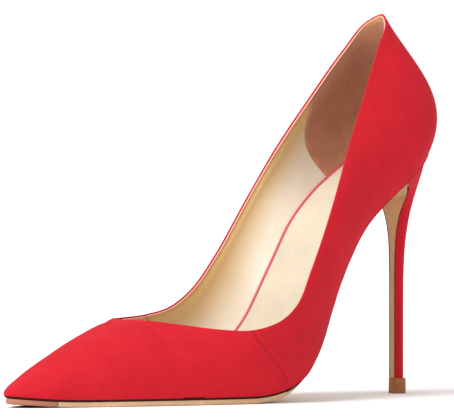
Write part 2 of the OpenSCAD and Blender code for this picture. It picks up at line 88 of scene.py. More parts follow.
MEDIAL = LATERAL[:3] + (
    (26.5, 18, 0, -80.8, 20.8, 3, 0.5, 12, 90),
    (45, 25.5, 0, -63.9, 28.2, 4, 0.54, 17, 90),
    (63, 31.5, 0, -49.4, 32.7, 4.6, 0.55, 22, 90),
    (75, 34, 10, -46.4, 33, 4.6, 0.46, 16, 0.14),
    (85, 35.3, 20, -37.9, 32.8, 4.4, 0.4, 10, 0.24),
    (96, 35.5, 27, -27.4, 32.8, 4, 0.38, 7, 0.3),
    (109, 33, 31, -13.4, 33.6, 4, 0.37, 4.5, 0.34),
    (121, 29.5, 33.3, 1.6, 36.6, 4.2, 0.36, 3.5, 0.35),
    (135, 25, 34.5, 14.1, 44, 4.8, 0.36, 3, 0.35),
    (153, 21.5, 35, 24.6, 55, 5.5, 0.36, 3.5, 0.35),
    (175, 20.3, 33, 40.6, 79, 6.5, 0.37, 4.5, 0.35),
    (197, 20.8, 28, 51.6, 99, 7.5, 0.38, 6, 0.35),
    (217, 22, 20.5, 63.6, 120, 9, 0.39, 8, 0.35),
    (233, 20.8, 12.5, 74.9, 139.5, 11.2, 0.4, 9.7, 0.35),
) + LATERAL[17:]
THROAT_RUN = 0.2
THROAT_CUT = 0.2
SUEDE = 1.1
GAP = 0.1
STIFFENER = 0.7
LINING = 0.6
BOARD = 1.2
LINING_DEPTH = SUEDE + 2 * GAP + STIFFENER
SEAM = 9
BREAST_Y = 90.6
SOLE_TOP = -SUEDE - 0.2
TREAD = 2.1
WAIST = 1.5
SOLE_IN = 1.1
HEEL = np.array((
    (6.4, 6.4, 5.3, 1.7, 2.7, 2.2), (20, 20, 5.3, 1.7, 2.7, 2.2), (36, 36, 5.3, 1.7, 2.7, 2.2),
    (50, 50, 5.5, 1.75, 2.7, 2.3), (60, 60.4, 6.2, 2.1, 2.9, 2.6), (67, 68, 7.2, 3.1, 2.9, 3.2),
    (73, 75, 8.5, 4.9, 2.6, 4.2), (79, 82.5, 10, 8.3, 1.8, 6), (84, 89.5, 11.6, 11.6, 1.2, 7.8),
    (88, 95.5, 13, 15.2, 0.2, 9), (92, 101, 12.9, 18, -0.7, 8.2)), float)


def unit(v):
    return v / np.maximum(np.linalg.norm(v, axis=-1, keepdims=True), 1e-9)


# ---- Sole line ----

def arc_step(y, z, angle, length, end):
    mid, half = np.radians((angle + end) / 2), np.radians((end - angle) / 2)
    chord = length * np.sinc(half / np.pi)
    return y + chord * np.cos(mid), z + chord * np.sin(mid)


def walk_sole():
    drop = -arc_step(0, 0, -TOE_SPRING, SOLE[0][0], 0)[1]
    rows = [(0, TOE_Y, FEATHER_Z + drop, -TOE_SPRING)]
    for length, end in SOLE:
        s, y, z, angle = rows[-1]
        y, z = arc_step(y, z, angle, length, end)
        rows.append((s + length, y, z, end))
    return np.array(rows, float)


BENDS = walk_sole()


def on_sole(s):
    s = np.asarray(s, float)
    i = np.clip(np.searchsorted(BENDS[:, 0], s, side="right") - 1, 0, len(SOLE) - 1)
    start, end = BENDS[i], BENDS[i + 1]
    part = s - start[..., 0]
    angle = start[..., 3] + (end[..., 3] - start[..., 3]) * part / (end[..., 0] - start[..., 0])
    y, z = arc_step(start[..., 1], start[..., 2], start[..., 3], part, angle)
    return y, z, angle


def sole_point(s, x, n):
    y, z, angle = on_sole(s)
    a = np.radians(angle)
    x, y, z = np.broadcast_arrays(x + LINE_X, y - n * np.sin(a), z + n * np.cos(a))
    return np.stack([x, y, z], -1)


# ---- Splines ----

def knot_rates(points):
    p = np.asarray(points, float)
    first, last = p[1].copy(), p[-2].copy()
    first[0], last[0] = -first[0], -last[0]
    q = np.vstack([first, p, last])
    d = np.maximum(np.linalg.norm(np.diff(q, axis=0), axis=1), 1e-6)
    step = np.diff(q, axis=0)
    a, b = d[:-1, None], d[1:, None]
    return (step[:-1] / a * b + step[1:] / b * a) / (a + b)


def hermite(a, va, b, vb, t):
    d = np.linalg.norm(b - a, axis=-1, keepdims=True)
    t = t[..., None]
    return (a * (2 * t**3 - 3 * t**2 + 1) + va * d * (t**3 - 2 * t**2 + t)
            + b * (3 * t**2 - 2 * t**3) + vb * d * (t**3 - t**2))


def spline(points, starts, ends, u):
    i = np.minimum(np.floor(u).astype(int), LAST - 1)
    return hermite(points[i], starts[i], points[i + 1], ends[i + 1], u - i)


def way_of(side):
    return 1 if side == 0 else -1


class Side:
    """One side of the upper: its outline on the sole and its four control curves."""

    def __init__(self, side):
        self.way = way_of(side)
        rows = np.array(LATERAL if side == 0 else MEDIAL, float)
        self.outline = np.stack([self.way * rows[:, 1], rows[:, 0]], 1)
        self.outline_rates = knot_rates(self.outline)
        foot = sole_point(rows[:, 0], self.way * rows[:, 1], 0)
        foot[:, 0] -= LINE_X
        edge = np.stack([self.way * rows[:, 2], rows[:, 3], rows[:, 4]], 1)
        rates = knot_rates(foot)
        n = unit(np.stack([rates[:, 1], -rates[:, 0]], 1) * self.way)
        low = np.stack([foot[:, 0] + n[:, 0] * rows[:, 5] + 0.1 * (edge[:, 0] - foot[:, 0]),
                        foot[:, 1] + n[:, 1] * rows[:, 5] + 0.1 * (edge[:, 1] - foot[:, 1]),
                        foot[:, 2] + rows[:, 6] * (edge[:, 2] - foot[:, 2])], 1)
        high = np.stack([edge[:, 0] + n[:, 0] * rows[:, 7], edge[:, 1] + n[:, 1] * rows[:, 7],
                         edge[:, 2] - rows[:, 8] * (edge[:, 2] - foot[:, 2])], 1)
        for i in range(THROAT + 1):
            ridge = unit(edge[min(i + 1, THROAT)] - edge[max(i - 1, 0)])
            turn = math.radians(rows[i, 8])
            high[i] = edge[i] + rows[i, 7] * (math.sin(turn) * np.array([self.way, 0, 0])
                                              - math.cos(turn) * ridge)
        self.net = [foot, low, high, edge]
        self.starts, self.ends = [], []
        for j, points in enumerate(self.net):
            ends = knot_rates(points)
            if j == 3:
                ends[THROAT] = unit(points[THROAT] - points[THROAT - 1])
            starts = knot_rates(points)
            back = points[THROAT] - points[THROAT - 1]
            rate = (THROAT_RUN * ends[THROAT] * np.linalg.norm(back)
                    - THROAT_CUT * j * (points[THROAT] - self.net[max(j - 1, 0)][THROAT]))
            starts[THROAT] = rate / max(np.linalg.norm(points[THROAT + 1] - points[THROAT]), 1e-6)
            self.starts.append(starts)
            self.ends.append(ends)

    def control(self, j, u):
        return spline(self.net[j], self.starts[j], self.ends[j], u)

    def surface(self, u, v):
        u, v = np.broadcast_arrays(np.asarray(u, float), np.asarray(v, float))
        w, x = (1 - v)[..., None], v[..., None]
        f, a, b, e = (self.control(j, u) for j in range(4))
        return f * w**3 + a * 3 * w * w * x + b * 3 * w * x * x + e * x**3 + np.array([LINE_X, 0, 0])

    def normal(self, u, v):
        u, v = np.broadcast_arrays(np.asarray(u, float), np.asarray(v, float))
        along = self.surface(np.minimum(u + 0.02, LAST), v) - self.surface(np.maximum(u - 0.02, 0), v)
        up = self.surface(u, np.minimum(v + 0.01, 1)) - self.surface(u, np.maximum(v - 0.01, 0))
        n = unit(np.cross(along, up) * self.way)
        end = (u < 0.001) | (u > LAST - 0.001)
        n = np.where(end[..., None], unit(n * np.array([0, 1, 1])), n)
        ridge = (v > 0.999) & (u <= THROAT)
        a = SIDES[0] if SIDES else self
        t = unit(a.control(3, np.minimum(u + 0.1, THROAT) - 0.001) - a.control(3, np.maximum(u - 0.1, 0)))
        r = np.stack([np.zeros_like(u), -t[..., 2], t[..., 1]], -1)
        return np.where(ridge[..., None], r, n)

    def inside(self, u, v, depth):
        return self.surface(u, v) - np.asarray(depth)[..., None] * self.normal(u, v)

    def outline_in(self, u, d):
        u = np.asarray(u, float)
        at = lambda w: spline(self.outline, self.outline_rates, self.outline_rates, w)
        t = unit(at(np.minimum(u + 0.02, LAST)) - at(np.maximum(u - 0.02, 0)))
        n = np.stack([-t[..., 1], t[..., 0]], -1) * self.way
        p = at(u) + n * np.asarray(d)[..., None]
        end = (u < 0.001) | (u > LAST - 0.001)
        return np.where(end, 0, p[..., 0]), p[..., 1]

    def bottom(self, u, d, n):
        x, s = self.outline_in(u, d)
        return sole_point(s, x, n)

    def margin(self, u):
        x, _ = self.outline_in(u, 0)
        return np.minimum(10, 3 + 0.35 * np.abs(x))


SIDES = []
SIDES.extend([Side(0), Side(1)])


def ease(x):
    """0 before 0, 1 after 1, and smooth between."""
    x = np.clip(x, 0, 1)
    return x * x * (3 - 2 * x)


def stations(a, b, step):
    """Stations from a to b about one step apart along the outline, with the throat among them."""
    stops = [a] + [x for x in (THROAT,) if a < x < b] + [b]
    out = [np.array([a], float)]
    for lo, hi in zip(stops[:-1], stops[1:]):
        u = np.linspace(lo, hi, 600)
        p = spline(SIDES[0].outline, SIDES[0].outline_rates, SIDES[0].outline_rates, u)
        run = np.concatenate([[0], np.cumsum(np.linalg.norm(np.diff(p, axis=0), axis=1))])
        n = max(2, int(round(run[-1] / step)))
        out.append(np.interp(np.linspace(0, run[-1], n + 1)[1:], run, u))
    return np.concatenate(out)


# ---- Meshes ----

def new_object(name, points, faces, values=None, merge=0.0, sharp=None):
    """A closed mesh from points in millimetres, with named values on its points."""
    mesh = bpy.data.meshes.new(name)
    mesh.from_pydata((np.asarray(points, float) * MM).tolist(), [], [list(f) for f in faces])
    for key, data in (values or {}).items():
        mesh.attributes.new(key, "FLOAT", "POINT").data.foreach_set(
            "value", np.asarray(data, np.float32).ravel())
    bm = bmesh.new()
    bm.from_mesh(mesh)
    bmesh.ops.remove_doubles(bm, verts=bm.verts, dist=merge or 1e-7)
    bmesh.ops.dissolve_degenerate(bm, edges=bm.edges, dist=1e-8)
    bmesh.ops.delete(bm, geom=[v for v in bm.verts if not v.link_faces], context="VERTS")
    bmesh.ops.recalc_face_normals(bm, faces=bm.faces)
    bm.to_mesh(mesh)
    bm.free()
    mesh.polygons.foreach_set("use_smooth", [True] * len(mesh.polygons))
    if sharp:
        mesh.set_sharp_from_angle(angle=math.radians(sharp))
    obj = bpy.data.objects.new(name, mesh)
    bpy.context.scene.collection.objects.link(obj)
    return obj


def wall_faces(rows, cols, closed=True, start=0):
    """Quads between rows of points that lie one after the other."""
    last = cols if closed else cols - 1
    return [(start + r * cols + j, start + r * cols + (j + 1) % cols,
             start + (r + 1) * cols + (j + 1) % cols, start + (r + 1) * cols + j)
            for r in range(rows - 1) for j in range(last)]


def settle(obj, nodes, material, body=None):
    """Gives a piece its material, hides the CAD nodes that it stands for and joins it to its body.
    A piece with no body named has its transform applied to its mesh."""
    obj.data.materials.clear()
    obj.data.materials.append(material)
    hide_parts(*nodes)
    if body:
        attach(obj, body)
    else:
        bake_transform(obj)
    return obj


def shell(name, sides, us, section, roll, sharp=None, ridge_end=THROAT):
    """A layer of the upper. section(side, us) gives rows of points, one loop for each station, and a dict of
    values. roll is the first and last column of the top edge, which is shared along the ridge."""
    points, values, faces = [], {}, []
    first, last = roll
    grids = [section(SIDES[k], us) for k in sides]
    if len(sides) == 2:
        for end in (0, -1):
            if us[end] < 0.001 or us[end] > LAST - 0.001:
                grids[1][0][end] = grids[0][0][end]
    for grid, extra in grids:
        count, loop, _ = grid.shape
        start = sum(len(p) for p in points)
        points.append(grid.reshape(-1, 3))
        for key, data in extra.items():
            values.setdefault(key, []).append(np.broadcast_to(data, (count, loop)).reshape(-1))
        for r in range(count - 1):
            ridge = us[r + 1] <= ridge_end + 1e-9
            for j in range(loop):
                if ridge and len(sides) == 2 and first <= j < last:
                    continue
                n = (j + 1) % loop
                a = start + r * loop
                faces.append((a + j, a + n, a + loop + n, a + loop + j))
        for r in (0, count - 1):
            if len(sides) == 2 and (us[r] < 0.001 or us[r] > LAST - 0.001):
                continue
            a = start + r * loop
            for j in range(loop // 2 - 1):
                k = loop - 1 - j
                faces.append((a + j, a + j + 1, a + k - 1, a + k))
    return new_object(name, np.concatenate(points), faces,
                      {k: np.concatenate(v) for k, v in values.items()}, sharp=sharp)


def top_edge(side, us, set_back):
    """Height v at which a layer stops, set back from the topline by a distance for each station."""
    end = side.surface(us, np.ones_like(us)) - side.surface(us, np.full_like(us, 0.99))
    return 1 - set_back / np.maximum(np.linalg.norm(end, axis=-1) / 0.01, 1e-6)


ROLL = 6


def wall_section(side, us, bottom, top, outer_depth, inner_depth, lip, count):
    """Points up the outside of a layer, round its top edge and down its inside."""
    w = np.linspace(0, 1, count)
    w = w - 0.11 * np.sin(2 * np.pi * w)
    v = bottom[:, None] + (top - bottom)[:, None] * w[None, :]
    u = np.broadcast_to(us[:, None], v.shape)
    outside = side.inside(u, v, outer_depth(u, v))
    within = side.inside(u, v, inner_depth(u, v))
    edge_out, edge_in = outside[:, -1], within[:, -1]
    mid, half = (edge_out + edge_in) / 2, (edge_out - edge_in) / 2
    below = side.surface(us, top - 0.01)
    up = unit(side.surface(us, top) - below)
    angles = np.pi * np.arange(1, ROLL + 1) / (ROLL + 1)
    roll = np.stack([mid + half * math.cos(a) + up * (lip * math.sin(a))[:, None] for a in angles], 1)
    return outside, roll, within[:, ::-1]


def edge_distance(grid, index):
    """Distance of each point of a row from the point at index, measured along the row."""
    step = np.linalg.norm(np.diff(grid, axis=1), axis=2)
    run = np.concatenate([np.zeros((len(grid), 1)), np.cumsum(step, axis=1)], axis=1)
    return run - run[:, index:index + 1]


# ---- Suede upper ----
OUT = 34


# Station at which the heel's cover starts
HEEL_START = 15.2


def seam_groove(u):
    return 0.08 * np.exp(-((u - SEAM) / 0.04) ** 2)


def skived(u, v):
    """Thickness of the suede, which is pared down where it folds over at the topline."""
    return SUEDE - 0.45 * ease((v - 0.86) / 0.1) * ease((u - THROAT) / 0.5)


def suede_section(side, us):
    lip = 0.32 * ease((us - THROAT) / 0.35)
    top = top_edge(side, us, lip)
    outside, roll, within = wall_section(
        side, us, np.zeros_like(us), top, lambda u, v: seam_groove(u), skived, lip, OUT)
    m = side.margin(us)
    foot = [side.bottom(us, d, n) for d, n in
            ((m, -SUEDE - 0.1), (0.5 * m + 0.9, -SUEDE - 0.1), (1.4, -SUEDE - 0.1), (0.75, -1.0),
             (0.35, -0.75), (0.1, -0.4))]
    foot_in = [side.bottom(us, d, n) for d, n in
               ((1.25, 0.25), (1.5, 0.05), (1.8, -0.04), (2.3, -0.1), (0.5 * m + 0.9, -0.1), (m, -0.1))]
    grid = np.concatenate([np.stack(foot, 1), outside, roll, within, np.stack(foot_in, 1)], 1)
    rim = np.abs(edge_distance(grid, len(foot) + OUT + ROLL // 2 - 1))
    open_edge = ease((us - THROAT + 0.1) / 0.2)[:, None]
    rise = edge_distance(grid, len(foot))
    # The feather value marks the suede's underside at its bottom edge, where a dark band is painted as shade
    # in the crease against the sole, stopping at the heel.
    crease_shade_reach = 1 - ease((us - HEEL_START) / 0.25)[:, None]
    return grid, {"rim": rim + 50 * (1 - open_edge), "feather": crease_shade_reach * (1 - ease((rise + 0.75) / 0.2))}


SUEDE_ROLL = (6 + OUT - 1, 6 + OUT + ROLL)


# ---- Lining ----

def lining_outer(u, v):
    """The lining leaves room for the stiffeners below, and closes up to the suede at the topline."""
    near = ease((v - 0.78) / 0.18) * ease((u - 4.4) / 0.6)
    return LINING_DEPTH * (1 - near) + (skived(u, v) + 0.05) * near


def lining_inner(u, v):
    return lining_outer(u, v) + LINING


def lining_section(side, us):
    lip = 0.25 * ease((us - THROAT) / 0.3)
    top = top_edge(side, us, lip + 0.35 * ease((us - THROAT) / 0.3))
    bottom = 0.05 + 0.25 * 0.95 * np.maximum(0, 1 - us / 1.5)
    outside, roll, within = wall_section(side, us, bottom, top, lining_outer, lining_inner, lip, 26)
    grid = np.concatenate([outside, roll, within], 1)
    rim = np.abs(edge_distance(grid, 26 + ROLL // 2))
    open_edge = ease((us - THROAT + 0.1) / 0.2)[:, None]
    return grid, {"rim": rim + 50 * (1 - open_edge)}


LINING_ROLL = (25, 26 + ROLL)


def layer_section(v0, v1, depth0, depth1, count=12):
    """Section of a plain inner layer between two heights and two depths."""
    def section(side, us):
        v = v0 + (v1 - v0) * np.linspace(0, 1, count)
        v = v[None, :] + 0.25 * (1 - v[None, :]) * np.maximum(0, 1 - us / 1.5)[:, None]
        u = np.broadcast_to(us[:, None], v.shape)
        outside = side.inside(u, v, np.full_like(v, depth0))
        within = side.inside(u, v, np.full_like(v, depth1))
        return np.concatenate([outside, within[:, ::-1]], 1), {}
    return section


# ---- Plates along the sole ----

def plate_rows(us, profile, across=9):
    """Rows of a plate: profile(side, us) gives the distances inside the outline and the heights of its edge,
    from the top round to the bottom. The faces between the two edges get across - 1 strips."""
    edges = []
    for side in SIDES:
        d, n = profile(side, us)
        x, s = [], []
        for j in range(d.shape[1]):
            a, b = side.outline_in(us, d[:, j])
            x.append(a), s.append(b)
        edges.append((np.stack(x, 1), np.stack(s, 1), n))
    (x0, s0, n0), (x1, s1, n1) = edges
    t = np.linspace(0, 1, across + 1)[None, 1:-1]
    def bridge(a, b):
        return a[:, None] * (1 - t) + b[:, None] * t
    x = np.concatenate([x0, bridge(x0[:, -1], x1[:, -1]), x1[:, ::-1], bridge(x1[:, 0], x0[:, 0])], 1)
    s = np.concatenate([s0, bridge(s0[:, -1], s1[:, -1]), s1[:, ::-1], bridge(s1[:, 0], s0[:, 0])], 1)
    n = np.concatenate([n0, bridge(n0[:, -1], n1[:, -1]), n1[:, ::-1], bridge(n1[:, 0], n0[:, 0])], 1)
    return x, s, n


def plate_object(name, us, profile, across=9, dish=None, values=None, sharp=50):
    x, s, n = plate_rows(us, profile, across)
    if dish is not None:
        n = n + dish(us, x, n)
    grid = sole_point(s, x, n)
    count, loop, _ = grid.shape
    faces = wall_faces(count, loop)
    faces.append(tuple(range(loop))[::-1])
    faces.append(tuple((count - 1) * loop + j for j in range(loop)))
    extra = {k: f(us, x, n) for k, f in (values or {}).items()}
    return new_object(name, grid.reshape(-1, 3), faces, extra, sharp=sharp)


BACKING_N = 12


def backing_section(side, us):
    """Backing cloth, which reaches the ridge in front of the throat and stops below the topline behind it."""
    top = 1 - 0.24 * ease((us - 4.2) / 0.8)
    w = np.linspace(0, 1, BACKING_N)
    v = 0.1 + (top[:, None] - 0.1) * w[None, :]
    u = np.broadcast_to(us[:, None], v.shape)
    outside = side.inside(u, v, np.full_like(v, SUEDE + GAP))
    within = side.inside(u, v, np.full_like(v, SUEDE + GAP + STIFFENER - 0.1))
    return np.concatenate([outside, within[:, ::-1]], 1), {}


def soft_profile(inset, n0, n1):
    """A plate with eased edges."""
    ease_by = min(0.25, (n1 - n0) / 4)

    def profile(side, us):
        one = np.ones_like(us)[:, None]
        return (one * (inset + ease_by * np.array([[4, 1, 0.3, 0, 0, 0.3, 1]])),
                one * np.array([[n1, n1, n1 - 0.3 * ease_by, n1 - ease_by, n0 + ease_by, n0 + 0.3 * ease_by,
                                 n0]]))
    return profile


# ---- Sock and its binding ----

def lining_foot(side, us, height):
    """Distance inside the outline at which the lining's inner face stands, at a height over the sole line."""
    v = np.linspace(0, 0.5, 90)[None, :]
    u = np.broadcast_to(us[:, None], (len(us), v.shape[1]))
    v = np.broadcast_to(v, u.shape)
    p = side.inside(u, v, np.full_like(u, LINING_DEPTH + LINING))
    x0, s0 = side.outline_in(us, np.zeros_like(us))
    x1, s1 = side.outline_in(us, np.ones_like(us))
    angle = np.radians(on_sole(s0)[2])
    base = sole_point(s0, 0, 0)[:, None, :]
    up = np.stack([np.zeros_like(angle), -np.sin(angle), np.cos(angle)], 1)[:, None, :]
    ahead = np.stack([np.zeros_like(angle), np.cos(angle), np.sin(angle)], 1)[:, None, :]
    n = ((p - base) * up).sum(-1)
    s = s0[:, None] + ((p - base) * ahead).sum(-1)
    x = p[..., 0] - LINE_X
    d = (x - x0[:, None]) * (x1 - x0)[:, None] + (s - s0[:, None]) * (s1 - s0)[:, None]
    out = np.array([np.interp(height, np.maximum.accumulate(a), b) for a, b in zip(n, d)])
    return np.clip(out, -1.2, 3.2)


FOOT_US = np.linspace(0.3, 17.9, 120)
_found = {}


def sock_reach(side, us):
    """Distance inside the outline of the sock's edge, close to the lining."""
    key = side.way
    if key not in _found:
        d = lining_foot(side, FOOT_US, 3.6)
        pad = np.pad(d, 4, mode="edge")
        _found[key] = np.convolve(pad, np.ones(9) / 9, mode="valid")
    return np.interp(us, FOOT_US, _found[key])


BINDING_R = 0.7
SOCK_N = 3.2
SOCK_T = 0.8


def sock_profile(side, us):
    d = sock_reach(side, us)[:, None] + 2 * BINDING_R * 0.8
    one = np.ones_like(us)[:, None]
    return (d + one * np.array([[1.6, 0.5, 0.1, 0, 0.1, 0.5]]),
            one * np.array([[SOCK_N + SOCK_T, SOCK_N + SOCK_T, SOCK_N + SOCK_T - 0.1, SOCK_N + 0.4,
                             SOCK_N + 0.1, SOCK_N]]))


def sock_dish(us, x, n):
    """The heel seat is cupped a little and the waist is flat."""
    half = np.max(np.abs(x), axis=1, keepdims=True) + 1e-6
    heel = ease((us - 13.5) / 2)[:, None]
    return 0.7 * heel * (np.clip(np.abs(x) / half, 0, 1) ** 2 - 1) * (n > SOCK_N + 0.5) * 0.8


def binding_path():
    us = stations(4, LAST, 2.0)
    halves = []
    for side in SIDES:
        d = sock_reach(side, us) + BINDING_R + 0.1
        p = side.bottom(us, d, np.full_like(us, SOCK_N + SOCK_T - 0.1))
        halves.append(p)
    return np.concatenate([halves[0], halves[1][::-1][1:]])


# ---- Heel grip ----

def grip_front(v):
    """Station of the grip's front edge at each height."""
    return 14.9 + (v - 0.55) ** 2


def grip_section(side, us):
    v = np.concatenate([[0.03, 0.035], np.linspace(0.05, 0.94, 22), [0.955, 0.96]])[None, :]
    share = ((LAST - us) / 3)[:, None]
    u = LAST - (LAST - grip_front(v)) * share
    v = np.broadcast_to(v, u.shape)
    edge = np.minimum(np.minimum((v - 0.03) / 0.02, (0.96 - v) / 0.02), (1 - share) / 0.02)
    thick = 0.12 + 0.38 * ease(edge)
    outside = side.inside(u, v, lining_inner(u, v) + 0.06)
    within = side.inside(u, v, lining_inner(u, v) + 0.06 + thick)
    grid = np.concatenate([outside, within[:, ::-1]], 1)
    return grid, {"rim": np.concatenate([edge, edge[:, ::-1]], 1)}


# ---- Sole ----

def sole_thickness(us):
    return TREAD + (WAIST - TREAD) * ease((us - 9) / 3)


def sole_profile(side, us):
    """An upright edge round the forepart, and one that is pared away underneath along the waist."""
    t = sole_thickness(us)[:, None]
    one = np.ones_like(t)
    pared = ease((us - 8.6) / 1.6)[:, None] * np.array([[0.8, 0.5, 0.6, 1.7, 2.6, 3.1, 3.4, 3.8]])
    d = one * (SOLE_IN + np.array([[1.4, 0.1, -0.12, -0.18, -0.1, 0.2, 0.6, 1.6]])) + pared
    n = SOLE_TOP - np.concatenate([0 * one, 0 * one, 0.14 * one, 0.45 * t, t - 0.4, t - 0.12, t - 0.02, t], 1)
    return d, n


def sole_ink_and_shade(us, x, n):
    """Dark edge ink on the top of the sole's edge, which also stands in as painted shade in the crease under
    the upper.
    """
    waist = 0.9 * ease((us - 8.8) / 1.2)[:, None]
    return np.clip((n - (SOLE_TOP - 0.12 - waist)) / 0.1, 0, 1)


# ---- Heel ----
HEEL_TOP = len(HEEL) - 1
SWEEP = 7.1
SEAT_N = -SUEDE - 0.15


def heel_row(k):
    k = np.asarray(k, float)
    i = np.clip(np.floor(k).astype(int), 0, len(HEEL) - 2)
    a, b = HEEL[np.maximum(i - 1, 0)], HEEL[i]
    c, d = HEEL[i + 1], HEEL[np.minimum(i + 2, len(HEEL) - 1)]
    t = (k - i)[..., None]
    return 0.5 * (2 * b + (c - a) * t + (2 * a - 5 * b + 4 * c - d) * t * t + (3 * b - a - 3 * c + d) * t**3)


def bezier(a, b, c, d, t):
    w = 1 - t
    return a * w**3 + b * 3 * w * w * t + c * 3 * w * t * t + d * t**3


def seat_plane(y):
    a, b = sole_point(235, 0, SEAT_N), sole_point(252, 0, SEAT_N)
    return a[2] + (b[2] - a[2]) * (y - a[1]) / (b[1] - a[1])


SWEEP_S = 224.0
SWEEP_Y = float(sole_point(SWEEP_S, 0, SEAT_N)[1])


def front_edge(k):
    """Front edge of the heel's cover: upright, then swept forward to the edge of the upper."""
    z0 = heel_row(SWEEP)[0]
    t = np.clip((k - SWEEP) / (HEEL_TOP - SWEEP), 0, 1)
    corners = [np.array(c) for c in ((BREAST_Y, z0), (BREAST_Y, z0 + 3.2),
                                     (SWEEP_Y + 4.2, seat_plane(SWEEP_Y) - 0.2),
                                     (SWEEP_Y, seat_plane(SWEEP_Y)))]
    return bezier(*corners, t) if k > SWEEP else np.array([BREAST_Y, heel_row(k)[0]])


def station_at(side, s):
    u = np.linspace(14, LAST, 400)
    return float(np.interp(s, side.outline_in(u, np.zeros_like(u))[1], u))


def even(points, count):
    """The same line with its points evenly spaced."""
    run = np.concatenate([[0], np.cumsum(np.linalg.norm(np.diff(points, axis=0), axis=1))])
    w = np.linspace(0, run[-1], count)
    return np.stack([np.interp(w, run, points[:, i]) for i in range(3)], 1)


SECTION = 26
BLOCK_BEHIND = 1.15


def heel_section(side, k):
    """Half of the heel's outer section from its front corner to its back."""
    r = heel_row(k)
    y0, z0 = front_edge(k)
    lift = float(np.clip((k - 7.6) / (HEEL_TOP - 7.6), 0, 1)) ** 3.2
    u = np.linspace(station_at(side, SWEEP_S), LAST, 80)
    rim = side.bottom(u, 0.02 - 0.6 * ease((u - 16) / 2), np.full_like(u, -0.3))
    share = float(np.clip((k - SWEEP) / (HEEL_TOP - SWEEP), 0, 1)) ** 1.25
    half0 = heel_row(min(k, SWEEP))[3]
    half = half0 + (abs(rim[0][0] - LINE_X) - half0) * share
    back = BREAST_Y + r[2]
    deep = back - y0
    t = np.linspace(0, 1, 80)[:, None]
    line = bezier(np.array([half, y0]), np.array([half + r[4], y0 + 0.35 * deep]),
                  np.array([r[5], back]), np.array([0, back]), t)
    zb = r[1]
    z = z0 + (zb - z0) * (line[:, 1] - y0) / deep
    section = even(np.stack([side.way * line[:, 0] + LINE_X, line[:, 1], z], 1), SECTION)
    return section * (1 - lift) + even(rim, SECTION) * lift


def plan_inset(points, way, d):
    """Points moved inwards in plan, across the line that they form."""
    t = np.gradient(points, axis=0)
    n = unit(np.stack([t[:, 1], -t[:, 0]], 1) * way)
    out = points.copy()
    out[:, :2] -= d * n
    out[-1, 0] = LINE_X
    return out


def heel_ks():
    return np.concatenate([np.linspace(0, 4, 12), np.linspace(4, HEEL_TOP, 60)[1:]])


def cover_object(name, thickness):
    rows = []
    for k in heel_ks():
        outer = [heel_section(s, k) for s in SIDES]
        inner = [plan_inset(p, s.way, thickness) for p, s in zip(outer, SIDES)]
        for line in inner:
            line[:, 2] -= 1.2 * ease((k - 8.6) / 1.4)
        rows.append(np.concatenate([outer[0], outer[1][::-1][1:], inner[1], inner[0][::-1][1:]]))
    grid = np.array(rows)
    count, loop, _ = grid.shape
    faces = wall_faces(count, loop)
    for base in (0, (count - 1) * loop):
        faces += [(base + j, base + j + 1, base + loop - 2 - j, base + loop - 1 - j)
                  for j in range(loop // 2 - 1)]
    front = np.minimum(np.arange(2 * SECTION - 1), np.arange(2 * SECTION - 1)[::-1])
    width = np.linalg.norm(np.diff(grid[:, :SECTION], axis=1), axis=2).sum(1) / (SECTION - 1)
    edge = np.concatenate([front, front])[None, :] * width[:, None]
    return new_object(name, grid.reshape(-1, 3), faces, {"front": edge}, sharp=50)


def from_depth(points, y):
    """The part of a line that lies behind y, with its points spread again."""
    at = np.arange(len(points))
    first = np.interp(y, np.maximum.accumulate(points[:, 1]), at)
    w = np.linspace(first, at[-1], len(points))
    return np.stack([np.interp(w, at, points[:, i]) for i in range(3)], 1)


def block_object(name, thickness):
    """The moulded block, which fills the cover behind the breast leather."""
    rows = []
    for k in heel_ks()[:-5]:
        lines = [from_depth(plan_inset(heel_section(s, k), s.way, thickness), BREAST_Y + BLOCK_BEHIND)
                 for s in SIDES]
        for line in lines:
            line[:, 2] -= 1.2 * ease((k - 8.6) / 1.4)
        rows.append(np.concatenate([lines[0], lines[1][::-1][1:]]))
    grid = np.array(rows)
    count, loop, _ = grid.shape
    faces = wall_faces(count, loop)
    for base in (0, (count - 1) * loop):
        faces += [(base + j, base + j + 1, base + loop - 2 - j, base + loop - 1 - j)
                  for j in range(loop // 2)]
    return new_object(name, grid.reshape(-1, 3), faces, sharp=50)


